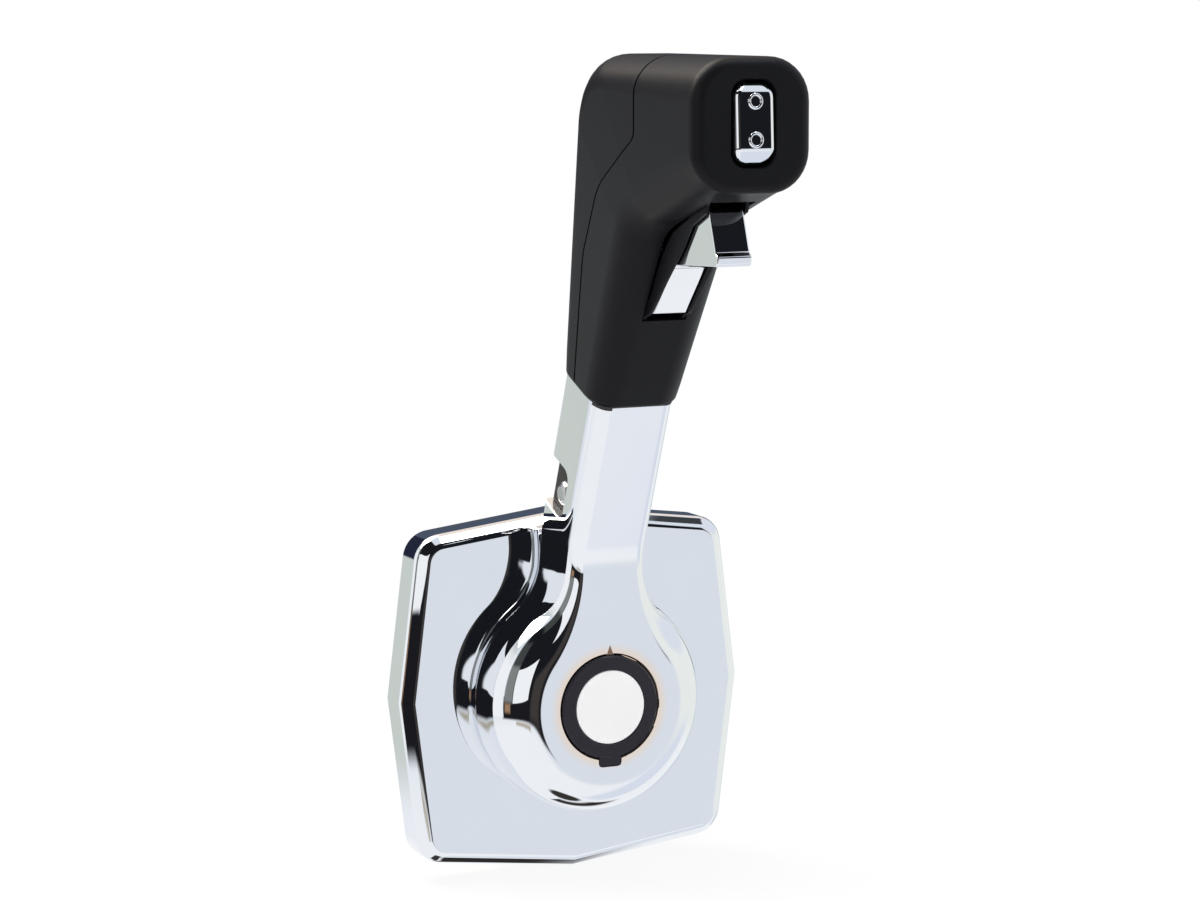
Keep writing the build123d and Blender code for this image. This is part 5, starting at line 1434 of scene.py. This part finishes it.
@dataclass
class TrimRocker:
    """Chromed two-way rocker: wedge ends, a rim drawn in round its face, and two ring marks."""

    half_x: float = 7.15
    low: float = 190.6
    high: float = 216.0
    corner: float = 4.6
    rear: float = -148.1
    profile: tuple[Point2, ...] = ((-148.1, 190.6), (-149.8, 190.6), (-152.62, 195.3), (-151.75, 213.2),
                                   (-149.6, 216.0), (-148.1, 216.0))
    rim: tuple[Point2, ...] = ((0.0, 2.2), (0.2, 1.6), (0.5, 0.8), (0.85, 0.35), (1.4, 0.08), (2.0, 0.0))
    end_share: float = 0.3
    end_inset: float = 0.4
    rib_r: float = 3.0
    ring_r: float = 2.1
    wire_r: float = 0.5
    rings: tuple[Point2, ...] = ((-152.47, 198.4), (-151.89, 210.3))
    pivot: Point2 = (-145.0, 203.3)

    def rows(self) -> list[Point2]:
        """Half width and height of each row of the cap's outline, from its bottom to its top."""
        turns = [math.radians(7.5 * step) for step in range(13)]
        ends = [(self.half_x - self.corner * (1 - math.sin(turn)), self.corner * (1 - math.cos(turn)))
                for turn in turns]
        steps = [self.corner + (self.high - self.low - 2 * self.corner) * step / 24 for step in range(1, 24)]
        return ([(half, self.low + rise) for half, rise in ends]
                + [(self.half_x, self.low + rise) for rise in steps]
                + [(half, self.high - rise) for half, rise in reversed(ends)])

    def face_at(self, height: float) -> float:
        """Depth of the cap's face at a height."""
        front = filleted(self.profile, {2: 1.2, 3: 1.2}, 4)[1:-1]
        for (near, low), (far, high) in zip(front, front[1:]):
            if low <= height <= high:
                return near + (far - near) * (height - low) / max(high - low, 1e-6)
        return front[-1][0]

    def cap(self) -> Solid:
        """The cap: its outline drawn in step by step from its rear edge to its face, and its pivot rib."""
        middle, reach = (self.low + self.high) / 2, (self.high - self.low) / 2
        rows, points = self.rows(), []
        for inset, back in ((0.0, None), *self.rim):
            for half, height in rows:
                side = max(0.0, 1 - (self.half_x - half) / self.corner)
                across = half * (1 - inset / self.half_x)
                up = middle + (height - middle) * (1 - self.end_inset * inset / reach)
                share = self.end_share + (1 - self.end_share) * side
                deep = self.rear if back is None else self.face_at(up) + back * share
                points += [(-across, deep, up), (across, deep, up)]
        count, rings, faces = len(rows), len(self.rim) + 1, []
        for ring in range(rings):
            here, there = 2 * ring * count, 2 * (ring + 1) * count
            ends = (0, count - 1)
            if ring + 1 < rings:
                for row in range(count - 1):
                    faces += [(here + 2 * row + side, here + 2 * row + 2 + side, there + 2 * row + 2 + side,
                               there + 2 * row + side) for side in (0, 1)]
                faces += [(here + 2 * row, here + 2 * row + 1, there + 2 * row + 1, there + 2 * row)
                          for row in ends]
            if ring in (0, rings - 1):
                faces += [(here + 2 * row, here + 2 * row + 1, here + 2 * row + 3, here + 2 * row + 2)
                          for row in range(count - 1)]
        body = mesh_object("rocker_cap", points, faces)
        soften(body, 0.0, 50.0)
        depth, height = self.pivot
        radius, wide = self.rib_r, self.half_x - 1
        angles = [2 * math.pi * step / 24 for step in range(24)]
        outline = [(depth + radius * math.sin(angle), height + radius * math.cos(angle)) for angle in angles]
        rib = prism("rib", outline, sideways, -wide, wide)
        web = prism("web", [(-wide, height - radius), (wide, height - radius), (wide, height + radius),
                            (-wide, height + radius)], facing, self.rear, depth)
        join_to(body, rib)
        join_to(body, web)
        return body

    def ring_tree(self) -> Growth:
        """Tree that lays a wire ring at each place."""
        grow = Growth("ring_marks")
        path = grow.add("GeometryNodeCurvePrimitiveCircle", mode="RADIUS")
        grow.feed(path, "Resolution", 48)
        grow.feed(path, "Radius", grow.size("Ring Radius", self.ring_r))
        wire = grow.add("GeometryNodeCurvePrimitiveCircle", mode="RADIUS")
        grow.feed(wire, "Resolution", 16)
        grow.feed(wire, "Radius", grow.size("Wire Radius", self.wire_r))
        tube = grow.add("GeometryNodeCurveToMesh")
        grow.feed(tube, "Curve", path.outputs["Curve"])
        grow.feed(tube, "Profile Curve", wire.outputs["Curve"])
        grow.place(tube.outputs["Mesh"], Finishes.CHROME.material())
        return grow

    def build(self) -> None:
        """Make the cap and its ring marks and dress them."""
        dress(self.cap(), Finishes.CHROME, "rocker", "trim_rocker")
        (low_y, low_z), (high_y, high_z) = self.rings
        lean = Vector((0.0, -(high_z - low_z), high_y - low_y)).normalized()
        places = [((0.0, y, z), tuple(lean)) for y, z in self.rings]
        marks = self.ring_tree().grow("rocker_rings", places)
        soften(marks, 0.0, 60.0)
        dress(marks, Finishes.CHROME, "rocker")


@dataclass
class NeutralMark:
    """Dark brown fill in the pointed mark above the button."""

    corners: tuple[Point2, ...] = ((-1.6, 18.35), (1.6, 18.35), (0.0, 21.5))
    face: float = -45.1
    sunk: float = 0.12

    def build(self) -> None:
        """Make the inlay and dress it."""
        inlay = prism("neutral_mark", self.corners, facing, self.face + 0.6, self.face + self.sunk)
        soften(inlay, 0.0, 30.0)
        dress(inlay, Finishes.MARK, "lever")


# ---------------------------------------------------------------- pieces finished from their nodes
@dataclass(frozen=True)
class EdgedPiece:
    """A frame node whose merged copy gets rounded edges and a finish.

    Attributes:
        node: Frame node.
        name: Name of the finished piece.
        body: Body that it rides on.
        finish: Its finish.
        width: Edge rounding in millimetres.
        angle: Edges sharper than this are rounded.
        segments: Steps round each edge.
    """

    node: str
    name: str
    body: str
    finish: Finish
    width: float
    angle: float = 32.0
    segments: int = 2

    def build(self, frame: dict) -> None:
        """Copy, round, shade and dress the piece."""
        piece = merged_copy(frame, self.node, self.name)
        soften(piece, self.width, self.angle, self.segments)
        dress(piece, self.finish, self.body, self.node)


EDGED = (
    EdgedPiece("bezel_plate", "bezel", "base", Finishes.CHROME, 1.2, 20.0, 6),
    EdgedPiece("button_ring", "push_ring", "button", Finishes.BUTTON, 0.15),
    EdgedPiece("button_disc", "push_disc", "button", Finishes.DISC, 0.0),
    EdgedPiece("cross_bolt", "side_bolt", "lever", Finishes.STEEL, 0.1),
    EdgedPiece("cross_nut", "side_nut", "lever", Finishes.STEEL, 0.1),
    EdgedPiece("side_liner_left", "recess_liner_left", "lever", Finishes.RUBBER, 0.0),
    EdgedPiece("side_liner_right", "recess_liner_right", "lever", Finishes.RUBBER, 0.0),
    EdgedPiece("panel_gasket", "rear_gasket", "base", Finishes.RUBBER, 0.1),
    EdgedPiece("chassis_plate", "chassis", "base", Finishes.CAST, 0.2),
    EdgedPiece("housing_body", "rear_housing", "base", Finishes.HOUSING, 0.25),
    EdgedPiece("housing_cover", "rear_cover", "base", Finishes.HOUSING, 0.25),
    EdgedPiece("connector_socket", "harness_inlet", "base", Finishes.HOUSING, 0.15),
    EdgedPiece("hub_cover", "hub_ring", "lever", Finishes.CAST, 0.1),
)


def dress_inner_nodes(frame: dict) -> None:
    """Give every node that still shows its finish's material.

    Args:
        frame: The loaded frame.
    """
    slots = {part["node"]: part["material_slot"] for part in frame["record"]["subparts"]}
    for name, node in frame["nodes"].items():
        if node.hide_render:
            continue
        finish = Finishes.for_slot(slots[name])
        node.data.materials.clear()
        node.data.materials.append(finish.material())


# ---------------------------------------------------------------- studio
@dataclass(frozen=True)
class Card:
    """A soft-edged panel of the studio that polished metal mirrors.

    Attributes:
        name: What it stands for.
        azimuth: Middle, in degrees round from the operator's side towards the right.
        elevation: Middle, in degrees above the horizon.
        half_wide: Half its width, in degrees.
        half_high: Half its height, in degrees.
        colour: What it shows, linear.
        soft: Width of its edge, in degrees.
        slant: Degrees that it leans sideways for each degree of height.
    """

    name: str
    azimuth: float
    elevation: float
    half_wide: float
    half_high: float
    colour: Point3
    soft: float = 3.0
    slant: float = 0.0


@dataclass(frozen=True)
class Lamp:
    """A soft square lamp.

    Attributes:
        name: Lamp name.
        at: Place in millimetres.
        aim: Point that it faces, in millimetres.
        size: Side length in metres.
        watts: Power.
        tint: Colour of its light.
        mirrored: Whether glossy surfaces show it.
    """

    name: str
    at: Point3
    aim: Point3
    size: float
    watts: float
    tint: Point3 = (1.0, 1.0, 1.0)
    mirrored: bool = False


@dataclass
class Studio:
    """Camera, soft light, pale floor and the surroundings that the chrome mirrors."""

    camera_at: Point3 = (-482.544, -1084.411, 240.469)
    forward: Point3 = (0.41486652, 0.90042841, -0.13082221)
    upward: Point3 = (0.05619916, 0.11814663, 0.99140457)
    lens: float = 101.72
    sensor: float = 36.0
    floor_drop: float = 1.0
    floor_size: float = 30.0
    table_tone: Point3 = (0.985, 0.99, 1.0)
    wall_tone: Point3 = (0.80, 0.84, 0.90)
    horizon: Point2 = (-24.0, -8.0)
    floor_tone: Point3 = (0.8, 0.81, 0.83)
    floor_fade: Point2 = (0.10, 0.60)
    ambient_tone: Point3 = (0.95, 0.97, 1.0)
    ambient: float = 0.60
    cards: tuple[Card, ...] = (
        Card("right wall", 90.0, -8.0, 62.0, 16.0, (0.93, 0.95, 0.90), 8.0),
        Card("right rear wall", 135.0, -12.0, 14.0, 20.0, (0.66, 0.73, 0.77), 12.0),
        Card("table edge ahead", 25.0, -9.0, 12.0, 17.0, (0.80, 0.83, 0.875), 14.0),
        Card("low right table", 58.0, -46.0, 20.0, 26.0, (0.78, 0.82, 0.90), 14.0),
        Card("dark ceiling", -30.0, 31.0, 64.0, 37.5, (0.010, 0.011, 0.014), 2.5),
        Card("dark band ahead", -40.0, -8.0, 59.0, 8.5, (0.012, 0.012, 0.015), 2.5),
        Card("brown-grey wall", -1.0, -5.0, 14.0, 10.0, (0.052, 0.046, 0.042), 7.0),
        Card("left window", -114.0, 9.0, 17.5, 24.5, (1.0, 1.0, 1.0), 3.0),
        Card("left upper wall", -132.0, 45.0, 24.0, 12.0, (0.62, 0.63, 0.60), 24.0),
        Card("dim strip", -82.0, 33.0, 12.0, 14.0, (0.06, 0.064, 0.062), 6.0),
        Card("grey strip", -83.0, 11.0, 11.5, 14.5, (0.24, 0.25, 0.24), 5.0),
        Card("tall window", -47.6, 9.4, 22.4, 13.4, (1.0, 1.0, 1.0), 0.8, -0.03),
        Card("warm edge", -84.0, -8.0, 8.0, 3.5, (0.36, 0.22, 0.13), 4.0),
        Card("pale line", -38.0, -19.0, 22.0, 1.5, (0.50, 0.45, 0.36), 3.0),
        Card("rear right wall", 155.0, 12.0, 28.0, 18.0, (0.075, 0.095, 0.135), 5.0),
        Card("rear left wall", -172.0, 14.0, 20.0, 17.0, (0.018, 0.022, 0.045), 4.0),
        Card("pale panel behind left", -155.0, -9.0, 14.0, 7.0, (0.64, 0.68, 0.63), 4.0),
        Card("dark patch on the right", 84.0, 55.5, 10.0, 4.5, (0.05, 0.055, 0.06), 4.0),
        Card("warm ceiling behind", 170.0, 58.0, 60.0, 22.0, (1.0, 0.86, 0.74), 10.0),
        Card("bright panel overhead", 60.0, 68.0, 17.0, 6.0, (8.0, 8.5, 8.7), 4.0),
        Card("dark floor behind", 150.0, -68.0, 46.0, 7.0, (0.030, 0.026, 0.026), 8.0),
        # Painted shadow: a dark patch straight below stands in for the object's shadow on the floor, seen
        # only in reflections.
        Card("painted shadow below", 0.0, -88.0, 181.0, 8.0, (0.040, 0.036, 0.032), 4.0),
    )
    lamps: tuple[Lamp, ...] = (
        Lamp("rear_box", (-320.0, 260.0, 900.0), (0.0, -80.0, 120.0), 0.8, 15.0, (1.0, 0.90, 0.79), True),
        Lamp("top_box", (150.0, -350.0, 900.0), (0.0, -80.0, 120.0), 0.9, 2.5),
        Lamp("front_box", (500.0, -1000.0, 300.0), (0.0, -60.0, 80.0), 0.8, 2.7),
    )

    def place_camera(self) -> None:
        """Set the camera."""
        data = bpy.data.cameras.new("camera")
        data.lens = self.lens
        data.sensor_width = self.sensor
        data.clip_start, data.clip_end = 0.01, 200.0
        camera = bpy.data.objects.new("camera", data)
        camera.location = Vector(self.camera_at) * MM
        forward, upward = Vector(self.forward), Vector(self.upward)
        right = forward.cross(upward).normalized()
        matrix = camera.matrix_world.to_3x3()
        matrix.col[0], matrix.col[1], matrix.col[2] = right, right.cross(forward), -forward
        camera.rotation_euler = matrix.to_euler()
        bpy.context.scene.collection.objects.link(camera)
        bpy.context.scene.camera = camera

    def lay_floor(self, low: float) -> None:
        """Lay a pale floor just below the lowest point; it fades to white away from the object.

        Args:
            low: Height of the lowest point, in metres.
        """
        size, height = self.floor_size, low - self.floor_drop * MM
        mesh = bpy.data.meshes.new("floor")
        corners = ((-size, -size), (size, -size), (size, size), (-size, size))
        mesh.from_pydata([(*corner, height) for corner in corners], [], [(0, 1, 2, 3)])
        floor = bpy.data.objects.new("floor", mesh)
        bpy.context.scene.collection.objects.link(floor)
        floor.visible_glossy = False
        made = bpy.data.materials.new("pale_floor")
        made.use_nodes = True
        nodes = Nodes(made.node_tree)
        out = nodes.add("ShaderNodeOutputMaterial")
        seen = nodes.add("ShaderNodeLightPath")
        matt = nodes.add("ShaderNodeBsdfDiffuse", Color=(*self.floor_tone, 1.0))
        glow = nodes.add("ShaderNodeEmission", Color=(1.0, 1.0, 1.0, 1.0))
        away = nodes.add("ShaderNodeVectorMath")
        away.operation = "LENGTH"
        nodes.link(nodes.coordinates(1.0), away.inputs[0])
        share = nodes.math("MULTIPLY", seen.outputs["Is Camera Ray"],
                           nodes.spread(away.outputs["Value"], 0.90, 1.0, *self.floor_fade, True))
        blend = nodes.add("ShaderNodeMixShader")
        nodes.link(share, blend.inputs[0])
        nodes.link(matt.outputs[0], blend.inputs[1])
        nodes.link(glow.outputs[0], blend.inputs[2])
        nodes.link(blend.outputs[0], out.inputs["Surface"])
        mesh.materials.append(made)
        floor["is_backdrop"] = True

    def surround(self) -> None:
        """White behind the object, and a pale table with dark walls and windows for what it mirrors, with a
        painted shadow straight below.
        """
        world = bpy.data.worlds.new("studio")
        bpy.context.scene.world = world
        world.use_nodes = True
        nodes = Nodes(world.node_tree)
        out = nodes.add("ShaderNodeOutputWorld")
        place = nodes.add("ShaderNodeTexCoord")
        split = nodes.add("ShaderNodeSeparateXYZ")
        nodes.link(place.outputs["Generated"], split.inputs[0])
        backward = nodes.math("MULTIPLY", split.outputs["Y"], -1.0)
        azimuth = nodes.math("DEGREES", nodes.math("ARCTAN2", split.outputs["X"], backward))
        elevation = nodes.math("DEGREES", nodes.math("ARCSINE", split.outputs["Z"]))
        above = nodes.spread(elevation, 0.0, 1.0, *self.horizon, True)
        colour = nodes.mix(above, self.table_tone, self.wall_tone)
        for card in self.cards:
            colour = self.card_over(nodes, azimuth, elevation, colour, card)
        seen = nodes.add("ShaderNodeLightPath")
        mirrored = nodes.add("ShaderNodeBackground")
        nodes.link(colour, mirrored.inputs["Color"])
        soft = nodes.add("ShaderNodeBackground", Color=(*self.ambient_tone, 1.0), Strength=self.ambient)
        white = nodes.add("ShaderNodeBackground", Color=(1.0, 1.0, 1.0, 1.0))
        first, second = nodes.add("ShaderNodeMixShader"), nodes.add("ShaderNodeMixShader")
        nodes.link(seen.outputs["Is Glossy Ray"], first.inputs[0])
        nodes.link(soft.outputs[0], first.inputs[1])
        nodes.link(mirrored.outputs[0], first.inputs[2])
        nodes.link(seen.outputs["Is Camera Ray"], second.inputs[0])
        nodes.link(first.outputs[0], second.inputs[1])
        nodes.link(white.outputs[0], second.inputs[2])
        nodes.link(second.outputs[0], out.inputs["Surface"])

    def card_over(self, nodes: Nodes, azimuth: Socket, elevation: Socket,
                  under: Socket, card: Card) -> Socket:
        """Lay one card over the surroundings.

        Args:
            nodes: World nodes.
            azimuth: Degrees round.
            elevation: Degrees up.
            under: Colour under the card.
            card: The card.

        Returns:
            The colour with the card in it.
        """
        rise = nodes.math("SUBTRACT", elevation, card.elevation)
        across = nodes.math("SUBTRACT", nodes.math("SUBTRACT", azimuth, card.azimuth),
                            nodes.math("MULTIPLY", rise, card.slant))
        beyond = nodes.math("MAXIMUM", nodes.math("SUBTRACT", nodes.math("ABSOLUTE", across), card.half_wide),
                            nodes.math("SUBTRACT", nodes.math("ABSOLUTE", rise), card.half_high))
        share = nodes.spread(beyond, 1.0, 0.0, -card.soft / 2, card.soft / 2, True)
        return nodes.mix(share, under, card.colour)

    def light(self, lamp: Lamp) -> None:
        """Hang one lamp."""
        data = bpy.data.lights.new(lamp.name, "AREA")
        data.shape = "SQUARE"
        data.size = lamp.size
        data.energy = lamp.watts
        data.color = lamp.tint
        hung = bpy.data.objects.new(lamp.name, data)
        hung.location = Vector(lamp.at) * MM
        hung.rotation_euler = (Vector(lamp.aim) - Vector(lamp.at)).to_track_quat("-Z", "Y").to_euler()
        hung.visible_glossy = lamp.mirrored
        bpy.context.scene.collection.objects.link(hung)

    def build(self, low: float) -> None:
        """Set up the whole studio.

        Args:
            low: Height of the object's lowest point, in metres.
        """
        self.place_camera()
        self.lay_floor(low)
        self.surround()
        for lamp in self.lamps:
            self.light(lamp)
        bpy.context.scene.view_settings.view_transform = "Standard"


def main() -> None:
    """Load the frame, build and dress every piece, and set the studio."""
    logging.basicConfig(level=logging.INFO, format="%(name)s %(message)s")
    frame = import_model()
    cad_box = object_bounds()
    arm = LeverCasting()
    arm.build()
    grip = Grip(arm)
    grip.build()
    SealAndShadowLine(arm).build()
    Fixings().build(grip)
    FingerTrigger().build()
    TriggerCheeks().build()
    TrimRocker().build()
    NeutralMark().build()
    for piece in EDGED:
        piece.build(frame)
    dress_inner_nodes(frame)
    Studio().build(cad_box[0].z)
    scene_box: Optional[tuple[Vector, Vector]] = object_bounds()
    for side, cad, seen in zip(("low", "high"), cad_box, scene_box):
        LOG.info("%s corner: frame %s, scene %s", side, [round(v * 1000, 1) for v in cad],
                 [round(v * 1000, 1) for v in seen])


if __name__ == "__main__":
    main()
